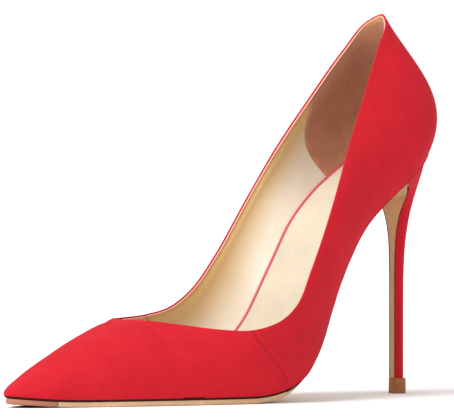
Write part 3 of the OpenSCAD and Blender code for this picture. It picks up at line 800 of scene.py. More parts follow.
def breast_object(name):
    """The leather on the heel's breast. It turns forward at its top and ends against the outsole."""
    end_n = SOLE_TOP - WAIST
    end = sole_point(SWEEP_S + 0.6, 0, end_n)[1:]
    angle = math.radians(float(on_sole(SWEEP_S)[2]))
    along = np.array([math.cos(angle), math.sin(angle)])
    z0 = heel_row(SWEEP)[0]
    low = [np.array([BREAST_Y + 0.02, heel_row(k)[0]]) for k in np.linspace(0, SWEEP, 50)]
    ts = np.linspace(0, 1, 28)[1:]
    turn = [bezier(np.array([BREAST_Y + 0.02, z0]), np.array([BREAST_Y + 0.02, z0 + 3.2]),
                   end + 2.6 * along, end, t) for t in ts]
    path = np.array(low + turn)
    share = np.concatenate([np.zeros(len(low)), ts ** 1.25])
    half0 = np.array([heel_row(min(k, SWEEP))[3] - 0.5 for k in np.linspace(0, SWEEP, 50)])
    half0 = np.concatenate([half0, np.full(len(turn), half0[-1])])
    t = unit(np.gradient(path, axis=0))
    normal = np.stack([t[:, 1], -t[:, 0]], 1)
    thick = 1.0 + 0.45 * ease((share - 0.5) / 0.5)
    rows = []
    for i, p in enumerate(path):
        q = p + normal[i] * thick[i]
        xs = []
        for side in SIDES:
            u = np.array([station_at(side, SWEEP_S)])
            wide = abs(side.outline_in(u, np.array([SOLE_IN + 0.45]))[0][0])
            xs.append(side.way * (half0[i] + (wide - half0[i]) * share[i]) + LINE_X)
        x = np.linspace(xs[0], xs[1], 11)
        face = [(a, p[0], p[1]) for a in x]
        back = [(a, q[0], q[1]) for a in x[::-1]]
        rows.append(face + back)
    grid = np.array(rows)
    count, loop, _ = grid.shape
    faces = wall_faces(count, loop) + [tuple(range(loop)), tuple((count - 1) * loop + j for j in range(loop))]
    return new_object(name, grid.reshape(-1, 3), faces, sharp=50)


def top_piece_object(name):
    """A D shape with eased edges and a flat front."""
    radius, height, centre, front = 3.5, 6.3, BREAST_Y + 2.85, BREAST_Y - 0.3
    a0 = math.acos((centre - front) / radius)
    a = np.linspace(-math.pi + a0 - math.pi / 2, math.pi - a0 - math.pi / 2 + 0, 49) + math.pi
    arc = np.stack([radius * np.cos(a), radius * np.sin(a)], 1)
    n = 8
    flat = arc[-1] + (arc[0] - arc[-1]) * np.linspace(0, 1, n + 2)[1:-1, None]
    ring = np.concatenate([arc, flat])
    rows = []
    for z, inset in ((0, 3.4), (0, 0.3), (0.06, 0.1), (0.22, 0), (0.6, 0), (5.8, 0), (6.1, 0.05), (6.25, 0.16),
                     (height, 0.34), (height, 3.4)):
        scale = 1 - inset / radius
        rows.append(np.stack([ring[:, 0] * scale + LINE_X, ring[:, 1] * scale + centre,
                              np.full(len(ring), z)], 1))
    grid = np.array(rows)
    count, loop, _ = grid.shape
    faces = wall_faces(count, loop) + [tuple(range(loop)), tuple((count - 1) * loop + j for j in range(loop))]
    return new_object(name, grid.reshape(-1, 3), faces, sharp=40)


# ---- Geometry Nodes: a round binding and a row of stitches along a path ----

def node_tree(name, sockets):
    tree = bpy.data.node_groups.new(name, "GeometryNodeTree")
    tree.interface.new_socket("Geometry", in_out="INPUT", socket_type="NodeSocketGeometry")
    ids = {}
    for label, kind, value in sockets:
        item = tree.interface.new_socket(label, in_out="INPUT", socket_type=kind)
        if value is not None:
            item.default_value = value
        ids[label] = item.identifier
    tree.interface.new_socket("Geometry", in_out="OUTPUT", socket_type="NodeSocketGeometry")
    return tree, ids


def add(tree, kind, **values):
    node = tree.nodes.new(kind)
    for key, value in values.items():
        setattr(node, key, value)
    return node


def binding_tree():
    tree, ids = node_tree("Edge binding", [("Radius", "NodeSocketFloat", 0.0005),
                                           ("Sides", "NodeSocketInt", 12),
                                           ("Material", "NodeSocketMaterial", None)])
    start, end = add(tree, "NodeGroupInput"), add(tree, "NodeGroupOutput")
    curve = add(tree, "GeometryNodeMeshToCurve")
    circle = add(tree, "GeometryNodeCurvePrimitiveCircle")
    tube = add(tree, "GeometryNodeCurveToMesh")
    tube.inputs["Fill Caps"].default_value = True
    real = add(tree, "GeometryNodeRealizeInstances")
    paint = add(tree, "GeometryNodeSetMaterial")
    link = tree.links.new
    link(start.outputs["Geometry"], curve.inputs["Mesh"])
    link(start.outputs["Sides"], circle.inputs["Resolution"])
    link(start.outputs["Radius"], circle.inputs["Radius"])
    link(curve.outputs["Curve"], tube.inputs["Curve"])
    link(circle.outputs["Curve"], tube.inputs["Profile Curve"])
    link(tube.outputs["Mesh"], real.inputs["Geometry"])
    link(real.outputs["Geometry"], paint.inputs["Geometry"])
    link(start.outputs["Material"], paint.inputs["Material"])
    link(paint.outputs["Geometry"], end.inputs["Geometry"])
    return tree, ids


def stitch_tree():
    tree, ids = node_tree("Row of stitches", [("Pitch", "NodeSocketFloat", 0.0018),
                                              ("Stitch length", "NodeSocketFloat", 0.0013),
                                              ("Thread radius", "NodeSocketFloat", 0.00015),
                                              ("Seed", "NodeSocketInt", 4),
                                              ("Material", "NodeSocketMaterial", None)])
    start, end = add(tree, "NodeGroupInput"), add(tree, "NodeGroupOutput")
    curve = add(tree, "GeometryNodeMeshToCurve")
    points = add(tree, "GeometryNodeCurveToPoints", mode="LENGTH")
    ball = add(tree, "GeometryNodeMeshIcoSphere")
    ball.inputs["Radius"].default_value = 1.0
    ball.inputs["Subdivisions"].default_value = 1
    half = add(tree, "ShaderNodeMath", operation="MULTIPLY")
    half.inputs[1].default_value = 0.5
    size = add(tree, "ShaderNodeCombineXYZ")
    turn = add(tree, "FunctionNodeAlignRotationToVector", axis="Z")
    vary = add(tree, "FunctionNodeRandomValue", data_type="FLOAT")
    vary.inputs[2].default_value = 0.9
    vary.inputs[3].default_value = 1.1
    scale = add(tree, "ShaderNodeVectorMath", operation="SCALE")
    copies = add(tree, "GeometryNodeInstanceOnPoints")
    real = add(tree, "GeometryNodeRealizeInstances")
    paint = add(tree, "GeometryNodeSetMaterial")
    link = tree.links.new
    link(start.outputs["Geometry"], curve.inputs["Mesh"])
    link(curve.outputs["Curve"], points.inputs["Curve"])
    link(start.outputs["Pitch"], points.inputs["Length"])
    link(points.outputs["Tangent"], turn.inputs["Vector"])
    link(start.outputs["Stitch length"], half.inputs[0])
    link(start.outputs["Thread radius"], size.inputs["X"])
    link(start.outputs["Thread radius"], size.inputs["Y"])
    link(half.outputs[0], size.inputs["Z"])
    link(start.outputs["Seed"], vary.inputs["Seed"])
    link(size.outputs[0], scale.inputs[0])
    link(vary.outputs[1], scale.inputs["Scale"])
    link(points.outputs["Points"], copies.inputs["Points"])
    link(ball.outputs["Mesh"], copies.inputs["Instance"])
    link(turn.outputs["Rotation"], copies.inputs["Rotation"])
    link(scale.outputs[0], copies.inputs["Scale"])
    link(copies.outputs["Instances"], real.inputs["Geometry"])
    link(real.outputs["Geometry"], paint.inputs["Geometry"])
    link(start.outputs["Material"], paint.inputs["Material"])
    link(paint.outputs["Geometry"], end.inputs["Geometry"])
    return tree, ids


def along_path(name, path, made, values):
    """Runs a node tree on a line through points in millimetres and returns its result as a plain mesh."""
    tree, ids = made
    mesh = bpy.data.meshes.new(name + "_path")
    mesh.from_pydata((np.asarray(path) * MM).tolist(), [(i, i + 1) for i in range(len(path) - 1)], [])
    guide = bpy.data.objects.new(name + "_path", mesh)
    bpy.context.scene.collection.objects.link(guide)
    modifier = guide.modifiers.new("Path", "NODES")
    modifier.node_group = tree
    for key, value in values.items():
        modifier[ids[key]] = value
    graph = bpy.context.evaluated_depsgraph_get()
    result = bpy.data.meshes.new_from_object(guide.evaluated_get(graph), preserve_all_data_layers=True,
                                             depsgraph=graph)
    guide.modifiers.remove(modifier)
    bpy.data.objects.remove(guide)
    obj = bpy.data.objects.new(name, result)
    bpy.context.scene.collection.objects.link(obj)
    result.polygons.foreach_set("use_smooth", [True] * len(result.polygons))
    return obj


def topline_path(side, set_back):
    """A line on the suede at a distance from the topline, from in front of the throat to the heel."""
    ahead = set_back / 18.0
    us = np.concatenate([THROAT - ahead + (ahead + 0.1) * (1 - np.cos(np.linspace(0, np.pi / 2, 12))),
                         stations(THROAT + 0.1, LAST - 0.06, 1.0)[1:]])
    reach = np.clip((us - (THROAT - ahead)) / (ahead + 0.1), 0, 1)
    v = top_edge(side, us, set_back * np.sqrt(1 - (1 - reach) ** 2))
    return side.inside(us, v, np.full_like(us, -0.02))


# ---- Shader groups ----

def shader_group(name, inputs, outputs):
    """An empty shader group with named sockets. Returns it with its input and output nodes."""
    tree = bpy.data.node_groups.new(name, "ShaderNodeTree")
    for label, kind, value in inputs:
        tree.interface.new_socket(label, in_out="INPUT", socket_type=kind).default_value = value
    for label, kind in outputs:
        tree.interface.new_socket(label, in_out="OUTPUT", socket_type=kind)
    return tree, add(tree, "NodeGroupInput"), add(tree, "NodeGroupOutput")


def object_place(tree):
    return add(tree, "ShaderNodeTexCoord").outputs["Object"]


def noise(tree, place, scale, detail=2.0, roughness=0.5, distortion=0.0):
    node = add(tree, "ShaderNodeTexNoise")
    tree.links.new(place, node.inputs["Vector"])
    for label, value in (("Scale", scale), ("Detail", detail), ("Roughness", roughness),
                         ("Distortion", distortion)):
        if isinstance(value, bpy.types.NodeSocket):
            tree.links.new(value, node.inputs[label])
        else:
            node.inputs[label].default_value = value
    return node.outputs[0]


def number(tree, operation, a, b=0.0, c=0.0):
    node = add(tree, "ShaderNodeMath", operation=operation)
    for socket, value in zip(node.inputs, (a, b, c)):
        if isinstance(value, bpy.types.NodeSocket):
            tree.links.new(value, socket)
        else:
            socket.default_value = value
    return node.outputs[0]


def spread(tree, value, low, high, to_low=0.0, to_high=1.0):
    node = add(tree, "ShaderNodeMapRange", interpolation_type="SMOOTHSTEP")
    tree.links.new(value, node.inputs["Value"])
    for label, limit in (("From Min", low), ("From Max", high), ("To Min", to_low), ("To Max", to_high)):
        node.inputs[label].default_value = limit
    return node.outputs["Result"]


def mixed(tree, mask, a, b):
    node = add(tree, "ShaderNodeMix", data_type="RGBA")
    for socket, value in ((node.inputs[0], mask), (node.inputs[6], a), (node.inputs[7], b)):
        if isinstance(value, bpy.types.NodeSocket):
            tree.links.new(value, socket)
        else:
            socket.default_value = value
    return node.outputs[2]


def colour(rgb, scale=1.0):
    return (*(min(1.0, c * scale) for c in rgb), 1.0)


def nap_group():
    """Suede nap: brushed patches, mottling and short fibres."""
    tree, start, end = shader_group(
        "Suede nap",
        [("Colour", "NodeSocketColor", (0.6, 0.02, 0.03, 1)), ("Brushed", "NodeSocketColor", (0.5, 0, 0, 1)),
         ("Patch scale", "NodeSocketFloat", 70.0), ("Fibre scale", "NodeSocketFloat", 2600.0)],
        [("Colour", "NodeSocketColor"), ("Height", "NodeSocketFloat"), ("Roughness", "NodeSocketFloat")])
    place = object_place(tree)
    patches = noise(tree, place, start.outputs["Patch scale"], 3.0, 0.55, 0.6)
    mottle = noise(tree, place, number(tree, "MULTIPLY", start.outputs["Patch scale"], 6.0), 3.0, 0.6)
    fibre = noise(tree, place, start.outputs["Fibre scale"], 2.0, 0.6)
    fine = noise(tree, place, number(tree, "MULTIPLY", start.outputs["Fibre scale"], 2.3), 1.0)
    mask = number(tree, "ADD", number(tree, "MULTIPLY", spread(tree, patches, 0.3, 0.7), 0.4),
                  number(tree, "ADD", number(tree, "MULTIPLY", spread(tree, mottle, 0.3, 0.7), 0.3),
                         number(tree, "MULTIPLY", spread(tree, fibre, 0.3, 0.7), 0.3)))
    link = tree.links.new
    link(mixed(tree, mask, start.outputs["Brushed"], start.outputs["Colour"]), end.inputs["Colour"])
    link(number(tree, "ADD", number(tree, "MULTIPLY", fibre, 0.65), number(tree, "MULTIPLY", fine, 0.35)),
         end.inputs["Height"])
    link(spread(tree, mottle, 0.3, 0.7, 0.84, 0.97), end.inputs["Roughness"])
    return tree


def grain_group():
    """Leather grain: small cells between fine creases, with slow changes of shade."""
    tree, start, end = shader_group(
        "Leather grain",
        [("Colour", "NodeSocketColor", (0.8, 0.7, 0.5, 1)), ("Shaded", "NodeSocketColor", (0.7, 0.6, 0.4, 1)),
         ("Cell scale", "NodeSocketFloat", 900.0), ("Shade scale", "NodeSocketFloat", 40.0)],
        [("Colour", "NodeSocketColor"), ("Height", "NodeSocketFloat"), ("Shade", "NodeSocketFloat")])
    place = object_place(tree)
    warp = add(tree, "ShaderNodeTexNoise")
    cells = add(tree, "ShaderNodeTexVoronoi", feature="SMOOTH_F1")
    link = tree.links.new
    link(place, warp.inputs["Vector"])
    warp.inputs["Scale"].default_value = 300.0
    bent = add(tree, "ShaderNodeVectorMath", operation="MULTIPLY_ADD")
    link(warp.outputs["Color"], bent.inputs[0])
    bent.inputs[1].default_value = (0.0012, 0.0012, 0.0012)
    link(place, bent.inputs[2])
    link(bent.outputs[0], cells.inputs["Vector"])
    link(start.outputs["Cell scale"], cells.inputs["Scale"])
    shade = noise(tree, place, start.outputs["Shade scale"], 4.0, 0.6)
    pores = noise(tree, place, number(tree, "MULTIPLY", start.outputs["Cell scale"], 2.0), 2.0)
    mask = number(tree, "ADD", number(tree, "MULTIPLY", spread(tree, shade, 0.32, 0.68), 0.7),
                  number(tree, "MULTIPLY", spread(tree, cells.outputs["Distance"], 0.0, 0.6), 0.3))
    link(mixed(tree, mask, start.outputs["Colour"], start.outputs["Shaded"]), end.inputs["Colour"])
    link(number(tree, "SUBTRACT", number(tree, "MULTIPLY", pores, 0.3), cells.outputs["Distance"]),
         end.inputs["Height"])
    link(shade, end.inputs["Shade"])
    return tree


def fibre_group():
    """Pressed or woven fibres seen at a small scale, for board, cloth, foam and felt."""
    tree, start, end = shader_group(
        "Pressed fibre",
        [("Colour", "NodeSocketColor", (0.6, 0.5, 0.4, 1)), ("Fleck", "NodeSocketColor", (0.4, 0.3, 0.2, 1)),
         ("Fibre scale", "NodeSocketFloat", 500.0), ("Stretch", "NodeSocketFloat", 0.3)],
        [("Colour", "NodeSocketColor"), ("Height", "NodeSocketFloat")])
    size = add(tree, "ShaderNodeCombineXYZ")
    size.inputs["X"].default_value = 1.0
    size.inputs["Z"].default_value = 1.0
    pulled = add(tree, "ShaderNodeVectorMath", operation="MULTIPLY")
    link = tree.links.new
    link(start.outputs["Stretch"], size.inputs["Y"])
    link(object_place(tree), pulled.inputs[0])
    link(size.outputs[0], pulled.inputs[1])
    strands = noise(tree, pulled.outputs[0], start.outputs["Fibre scale"], 4.0, 0.65, 0.4)
    flecks = noise(tree, pulled.outputs[0], number(tree, "MULTIPLY", start.outputs["Fibre scale"], 0.4), 2.0)
    mask = number(tree, "ADD", number(tree, "MULTIPLY", spread(tree, strands, 0.35, 0.65), 0.6),
                  number(tree, "MULTIPLY", spread(tree, flecks, 0.5, 0.75), 0.4))
    link(mixed(tree, mask, start.outputs["Colour"], start.outputs["Fleck"]), end.inputs["Colour"])
    link(strands, end.inputs["Height"])
    return tree


def wear_group():
    """Fine scuffs and slow changes of gloss."""
    tree, start, end = shader_group(
        "Scuffs",
        [("Low", "NodeSocketFloat", 0.4), ("High", "NodeSocketFloat", 0.6),
         ("Scale", "NodeSocketFloat", 200.0)],
        [("Roughness", "NodeSocketFloat"), ("Mask", "NodeSocketFloat")])
    place = object_place(tree)
    soft = noise(tree, place, start.outputs["Scale"], 4.0, 0.7)
    fine = noise(tree, place, number(tree, "MULTIPLY", start.outputs["Scale"], 7.0), 2.0, 0.6, 1.0)
    both = number(tree, "MULTIPLY", number(tree, "ADD", soft, fine), 0.5)
    blend = add(tree, "ShaderNodeMapRange")
    tree.links.new(both, blend.inputs["Value"])
    blend.inputs["From Min"].default_value = 0.35
    blend.inputs["From Max"].default_value = 0.65
    tree.links.new(start.outputs["Low"], blend.inputs["To Min"])
    tree.links.new(start.outputs["High"], blend.inputs["To Max"])
    tree.links.new(blend.outputs["Result"], end.inputs["Roughness"])
    tree.links.new(spread(tree, both, 0.5, 0.62), end.inputs["Mask"])
    return tree


GROUPS = {}


def place_group(tree, make, **values):
    """Places a shader group, built once, with its own values."""
    if make.__name__ not in GROUPS:
        GROUPS[make.__name__] = make()
    node = add(tree, "ShaderNodeGroup", node_tree=GROUPS[make.__name__])
    for key, value in values.items():
        node.inputs[key.replace("_", " ")].default_value = value
    return node


# ---- Materials ----

def blank(name, **sockets):
    """A new material and its Principled shader, with the plain numbers set on the shader's own sockets."""
    made = bpy.data.materials.new(name)
    made.use_nodes = True
    shader = made.node_tree.nodes["Principled BSDF"]
    for key, value in sockets.items():
        shader.inputs[key.replace("_", " ")].default_value = value
    return made, made.node_tree, shader


def raise_surface(tree, shader, height, distance, strength=1.0):
    bump = add(tree, "ShaderNodeBump")
    bump.inputs["Distance"].default_value = distance
    bump.inputs["Strength"].default_value = strength
    tree.links.new(height, bump.inputs["Height"])
    tree.links.new(bump.outputs["Normal"], shader.inputs["Normal"])


def value_mask(tree, name, full, none):
    """1 where a piece's own value is at full, and 0 where it is at none or beyond."""
    node = add(tree, "ShaderNodeAttribute", attribute_type="GEOMETRY", attribute_name=name)
    if full < none:
        return spread(tree, node.outputs["Fac"], full, none, 1.0, 0.0)
    return spread(tree, node.outputs["Fac"], none, full)


def red_suede(name, rgb, ink_and_shade_rgb, edge, limits):
    """Red suede with a dark band along one of its edges. Along the upper's feather line it is painted shade in
    the crease against the sole; on the heel's cover it is a thin dark line at the front edge.
    """
    made, tree, shader = blank(name, Sheen_Weight=0.05, Sheen_Roughness=0.5, Specular_IOR_Level=0.12)
    shader.inputs["Sheen Tint"].default_value = colour((1.0, 0.2, 0.25))
    nap = place_group(tree, nap_group, Colour=colour(rgb, 1.06), Brushed=colour(rgb, 0.84))
    # The edge mask mixes in the dark colour: painted crease shade on the upper, a thin dark line on the heel's
    # cover.
    base = mixed(tree, value_mask(tree, edge, *limits), nap.outputs["Colour"], colour(ink_and_shade_rgb))
    tree.links.new(base, shader.inputs["Base Color"])
    tree.links.new(nap.outputs["Roughness"], shader.inputs["Roughness"])
    raise_surface(tree, shader, nap.outputs["Height"], 0.00022, 0.8)
    return made


def lining_leather(name, rgb, painted_shade_gold_rgb, lip_rgb):
    """Satin lining leather with a pale cut edge, and a painted shade and reflection that turns it darker and
    golden towards its top edge.
    """
    made, tree, shader = blank(name, Coat_Roughness=0.3, Specular_IOR_Level=0.5)
    grain = place_group(tree, grain_group, Colour=colour(rgb, 1.02), Shaded=colour(rgb, 0.9),
                        Cell_scale=1500.0, Shade_scale=30.0)
    scuffs = place_group(tree, wear_group, Low=0.3, High=0.44, Scale=150.0)
    link = tree.links.new
    # Painted shade and reflection: the lining turns darker and golden within about 24 mm of its top edge.
    shade_tinted = mixed(tree, value_mask(tree, "rim", 0.4, 24.0), grain.outputs["Colour"], colour(painted_shade_gold_rgb))
    link(mixed(tree, value_mask(tree, "rim", 0.35, 0.75), shade_tinted, colour(lip_rgb)),
         shader.inputs["Base Color"])
    link(scuffs.outputs["Roughness"], shader.inputs["Roughness"])
    raise_surface(tree, shader, grain.outputs["Height"], 0.00004)
    return made


def plain_leather(name, rgb, cell=1200.0, low=0.4, high=0.55, depth=0.00005, dark=0.88):
    """Smooth leather with fine grain."""
    made, tree, shader = blank(name, Specular_IOR_Level=0.4)
    grain = place_group(tree, grain_group, Colour=colour(rgb, 1.03), Shaded=colour(rgb, dark),
                        Cell_scale=cell, Shade_scale=45.0)
    scuffs = place_group(tree, wear_group, Low=low, High=high, Scale=180.0)
    tree.links.new(grain.outputs["Colour"], shader.inputs["Base Color"])
    tree.links.new(scuffs.outputs["Roughness"], shader.inputs["Roughness"])
    raise_surface(tree, shader, grain.outputs["Height"], depth)
    return made


def inked_and_shaded_leather(name, rgb, ink_and_shade_rgb, value, limits):
    """Sole or breast leather, with dark edge ink along one of its edges, which also stands in as painted shade
    in the crease under the upper.
    """
    made = plain_leather(name, rgb, 700.0, 0.42, 0.6, 0.00006, 0.84)
    tree = made.node_tree
    socket = tree.nodes["Principled BSDF"].inputs["Base Color"]
    base = socket.links[0].from_socket
    # Edge ink, also standing in as painted crease shade, mixed over the leather.
    tree.links.new(mixed(tree, value_mask(tree, value, *limits), base, colour(ink_and_shade_rgb)), socket)
    return made


def nap_leather(name, rgb):
    """Short brown suede of the heel grip."""
    made, tree, shader = blank(name, Sheen_Weight=0.15, Specular_IOR_Level=0.25)
    nap = place_group(tree, nap_group, Colour=colour(rgb, 1.12), Brushed=colour(rgb, 0.8),
                      Patch_scale=120.0, Fibre_scale=2200.0)
    tree.links.new(nap.outputs["Colour"], shader.inputs["Base Color"])
    tree.links.new(nap.outputs["Roughness"], shader.inputs["Roughness"])
    raise_surface(tree, shader, nap.outputs["Height"], 0.0002)
    return made


def pressed(name, rgb, fleck_rgb, scale, stretch, rough, depth):
    """Board, cloth, foam or felt."""
    made, tree, shader = blank(name, Roughness=rough, Specular_IOR_Level=0.2)
    fibre = place_group(tree, fibre_group, Colour=colour(rgb), Fleck=colour(fleck_rgb), Fibre_scale=scale,
                        Stretch=stretch)
    tree.links.new(fibre.outputs["Colour"], shader.inputs["Base Color"])
    raise_surface(tree, shader, fibre.outputs["Height"], depth)
    return made


def woven(name, rgb, shadow_rgb, threads):
    """Cloth with two crossing sets of threads."""
    made, tree, shader = blank(name, Roughness=0.85, Specular_IOR_Level=0.2)
    place = object_place(tree)
    sets = []
    for way in ("X", "Y"):
        wave = add(tree, "ShaderNodeTexWave", wave_type="BANDS", bands_direction=way, wave_profile="SIN")
        tree.links.new(place, wave.inputs["Vector"])
        wave.inputs["Scale"].default_value = threads
        wave.inputs["Distortion"].default_value = 0.4
        sets.append(wave.outputs["Fac"])
    height = number(tree, "MAXIMUM", *sets)
    fibre = place_group(tree, fibre_group, Colour=colour(rgb), Fleck=colour(shadow_rgb), Fibre_scale=900.0)
    tree.links.new(mixed(tree, spread(tree, height, 0.2, 0.8), colour(shadow_rgb), fibre.outputs["Colour"]),
                   shader.inputs["Base Color"])
    raise_surface(tree, shader, height, 0.00012)
    return made


def moulded(name, rgb, rough, texture):
    """Moulded plastic with a fine surface and light scuffs."""
    made, tree, shader = blank(name, Specular_IOR_Level=0.45)
    scuffs = place_group(tree, wear_group, Low=rough - 0.08, High=rough + 0.1, Scale=260.0)
    tree.links.new(mixed(tree, scuffs.outputs["Mask"], colour(rgb), colour(rgb, 0.78)),
                   shader.inputs["Base Color"])
    tree.links.new(scuffs.outputs["Roughness"], shader.inputs["Roughness"])
    raise_surface(tree, shader, noise(tree, object_place(tree), texture, 2.0), 0.00004)
    return made


def drawn_steel(name):
    """Plain steel with the marks of drawing and rolling."""
    made, tree, shader = blank(name, Metallic=1.0)
    fibre = place_group(tree, fibre_group, Colour=(0.56, 0.57, 0.59, 1), Fleck=(0.43, 0.44, 0.46, 1),
                        Fibre_scale=1500.0, Stretch=0.06)
    scuffs = place_group(tree, wear_group, Low=0.26, High=0.4, Scale=300.0)
    tree.links.new(fibre.outputs["Colour"], shader.inputs["Base Color"])
    tree.links.new(scuffs.outputs["Roughness"], shader.inputs["Roughness"])
    raise_surface(tree, shader, fibre.outputs["Height"], 0.00002)
    return made


def make_finish(key, hues):
    """Builds one finish from the scene's colours."""
    if key == "suede":
        # The dark band along the upper's feather line is painted crease shade.
        return red_suede("Red suede", hues.suede, hues.ink_and_shade, "feather", (0.3, 0.1))
    if key == "heel_suede":
        # A thin dark line along the heel cover's front edge, in the same dark colour.
        return red_suede("Heel suede", hues.suede, hues.ink_and_shade, "front", (0.02, 0.2))
    if key == "lining":
        # The lining's golden edge colour is painted shade and reflection.
        return lining_leather("Cream lining", hues.lining, hues.painted_shade_gold, hues.lip)
    if key == "sock":
        return plain_leather("Cream sock leather", hues.sock)
    if key == "grip":
        return nap_leather("Brown suede", hues.grip)
    if key == "binding":
        return plain_leather("Red binding", hues.binding, 2500.0, 0.5, 0.65, 0.00003)
    if key == "thread":
        return pressed("Red thread", hues.suede, tuple(0.8 * c for c in hues.suede),
                       3000.0, 0.5, 0.7, 0.00004)
    # The sole's dark top edge is real edge ink and also painted crease shade.
    if key == "sole":
        return inked_and_shaded_leather("Sole leather", hues.sole, hues.ink_and_shade, "ink_and_shade", (0.75, 0.25))
    if key == "toe":
        return inked_and_shaded_leather("Toe leather", hues.toe, hues.ink_and_shade, "ink_and_shade", (0.75, 0.25))
    if key == "breast":
        return plain_leather("Breast leather", hues.breast, 700.0, 0.4, 0.58, 0.00005, 0.8)
    if key == "top_piece":
        return moulded("Brown top piece", hues.top_piece, 0.5, 1800.0)
    if key == "heel_plastic":
        return moulded("Heel plastic", (0.80, 0.78, 0.72), 0.45, 900.0)
    if key == "steel":
        return drawn_steel("Steel")
    if key == "board":
        return pressed("Fibreboard", (0.42, 0.30, 0.19), (0.28, 0.19, 0.11), 420.0, 0.35, 0.85, 0.0001)
    if key == "stiffener":
        return pressed("Stiffener sheet", (0.78, 0.72, 0.62), (0.66, 0.6, 0.5), 260.0, 1.0, 0.6, 0.00005)
    if key == "cloth":
        return woven("Backing cloth", (0.82, 0.79, 0.72), (0.62, 0.59, 0.52), 900.0)
    if key == "tape":
        return woven("Edge tape", (0.88, 0.86, 0.82), (0.7, 0.68, 0.64), 1400.0)
    if key == "foam":
        return pressed("Latex foam", (0.80, 0.74, 0.48), (0.64, 0.57, 0.34), 900.0, 1.0, 0.9, 0.00012)
    if key == "felt":
        return pressed("Felt", (0.50, 0.40, 0.28), (0.36, 0.28, 0.19), 600.0, 0.6, 0.95, 0.0002)
    raise ValueError("no finish called " + key)


FINISHES = {}


def finish(key):
    if key not in FINISHES:
        FINISHES[key] = make_finish(key, bpy.context.scene.pump_colours)
    return FINISHES[key]


def repaint(node, key):
    """Gives a CAD node its finish and leaves its mesh alone."""
    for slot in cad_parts[node].material_slots:
        slot.material = finish(key)


# ---- Settings ----

def hue(label, text, default):
    return FloatVectorProperty(name=label, description=text, default=default, size=3, min=0.0, max=1.0,
                               subtype="COLOR")


def length(label, text, default, low, high):
    return FloatProperty(name=label, description=text, default=default, min=low, max=high, precision=5,
                         unit="LENGTH")


class PumpSizes(bpy.types.PropertyGroup):
    """Sizes of the fine parts."""
    binding_radius: length("Binding radius", "Half the thickness of the sock's edge binding", 0.0007, 0.0002,
                           0.001)
    stitch_pitch: length("Stitch pitch", "From one stitch to the next along the topline", 0.0018, 0.001,
                         0.004)
    stitch_length: length("Stitch length", "Visible length of one stitch", 0.0013, 0.0006, 0.003)
    thread_radius: length("Thread radius", "Half the thickness of the thread", 0.00011, 0.00005, 0.0003)
    stitch_inset: length("Stitch inset", "From the topline to its row of stitches", 0.0022, 0.001, 0.005)
    heel_suede: length("Heel suede", "Thickness of the suede on the heel", 0.0006, 0.0004, 0.001)


class PumpColours(bpy.types.PropertyGroup):
    """Colours of the finishes."""
    suede: hue("Suede", "Suede of the upper and the heel", (0.54, 0.0125, 0.0235))
    # Dark colour for real edge ink on the sole and for painted shade in the crease along the upper's feather
    # line; it also draws the thin dark line at the front of the heel's cover.
    ink_and_shade: hue("Edge ink", "Dark finish along the feather line and the sole's edge", (0.05, 0.006, 0.005))
    lining: hue("Lining", "Lining leather", (0.72, 0.63, 0.50))
    # Colour of the painted shade and reflection towards the lining's topline.
    painted_shade_gold: hue("Lining edge", "Lining leather towards the topline", (0.56, 0.34, 0.12))
    lip: hue("Lining lip", "Cut edge of the lining", (0.80, 0.38, 0.30))
    sock: hue("Sock", "Leather of the sock lining", (0.60, 0.51, 0.385))
    grip: hue("Heel grip", "Suede of the heel grip", (0.42, 0.18, 0.105))
    binding: hue("Binding", "Binding round the sock", (0.58, 0.075, 0.115))
    sole: hue("Sole", "Leather of the outsole", (0.70, 0.46, 0.26))
    toe: hue("Sole toe", "Leather of the outsole's toe end", (0.42, 0.16, 0.09))
    breast: hue("Heel breast", "Leather on the front of the heel", (0.60, 0.33, 0.16))
    top_piece: hue("Top piece", "Plastic of the top piece", (0.34, 0.12, 0.025))


# ---- Operators ----
CAMERA_AZIMUTH = 49.884
CAMERA_ELEVATION = 0.636
CAMERA_DISTANCE = 2.2017
CAMERA_LENS = 441.1
LOOK_AT = Vector((-2.4, 4.6, 80.0))
LOOK_RIGHT = -1.17
LOOK_UP = -4.534
AMBIENT = 0.74


def directions(azimuth, elevation):
    """Unit vectors towards a viewer at an azimuth and elevation, to their right and up."""
    a, e = math.radians(azimuth), math.radians(elevation)
    back = Vector((math.sin(a) * math.cos(e), -math.cos(a) * math.cos(e), math.sin(e)))
    right = Vector((math.cos(a), math.sin(a), 0.0))
    return back, right, back.cross(right)


def area_light(name, azimuth, elevation, distance, size, power, tint=(1, 1, 1)):
    lamp = bpy.data.lights.new(name, "AREA")
    lamp.shape = "RECTANGLE"
    lamp.size, lamp.size_y = size
    lamp.energy = power
    lamp.color = tint
    obj = bpy.data.objects.new(name, lamp)
    back, _, _ = directions(azimuth, elevation)
    obj.location = LOOK_AT * MM + back * distance
    obj.rotation_euler = back.to_track_quat("Z", "Y").to_euler()
    bpy.context.scene.collection.objects.link(obj)


def sky_light(name, azimuth, elevation, strength, spread_angle):
    """An even light over the whole floor, soft like a large window."""
    lamp = bpy.data.lights.new(name, "SUN")
    lamp.energy = strength
    lamp.angle = math.radians(spread_angle)
    obj = bpy.data.objects.new(name, lamp)
    back, _, _ = directions(azimuth, elevation)
    obj.location = LOOK_AT * MM + back * 2.0
    obj.rotation_euler = back.to_track_quat("Z", "Y").to_euler()
    bpy.context.scene.collection.objects.link(obj)


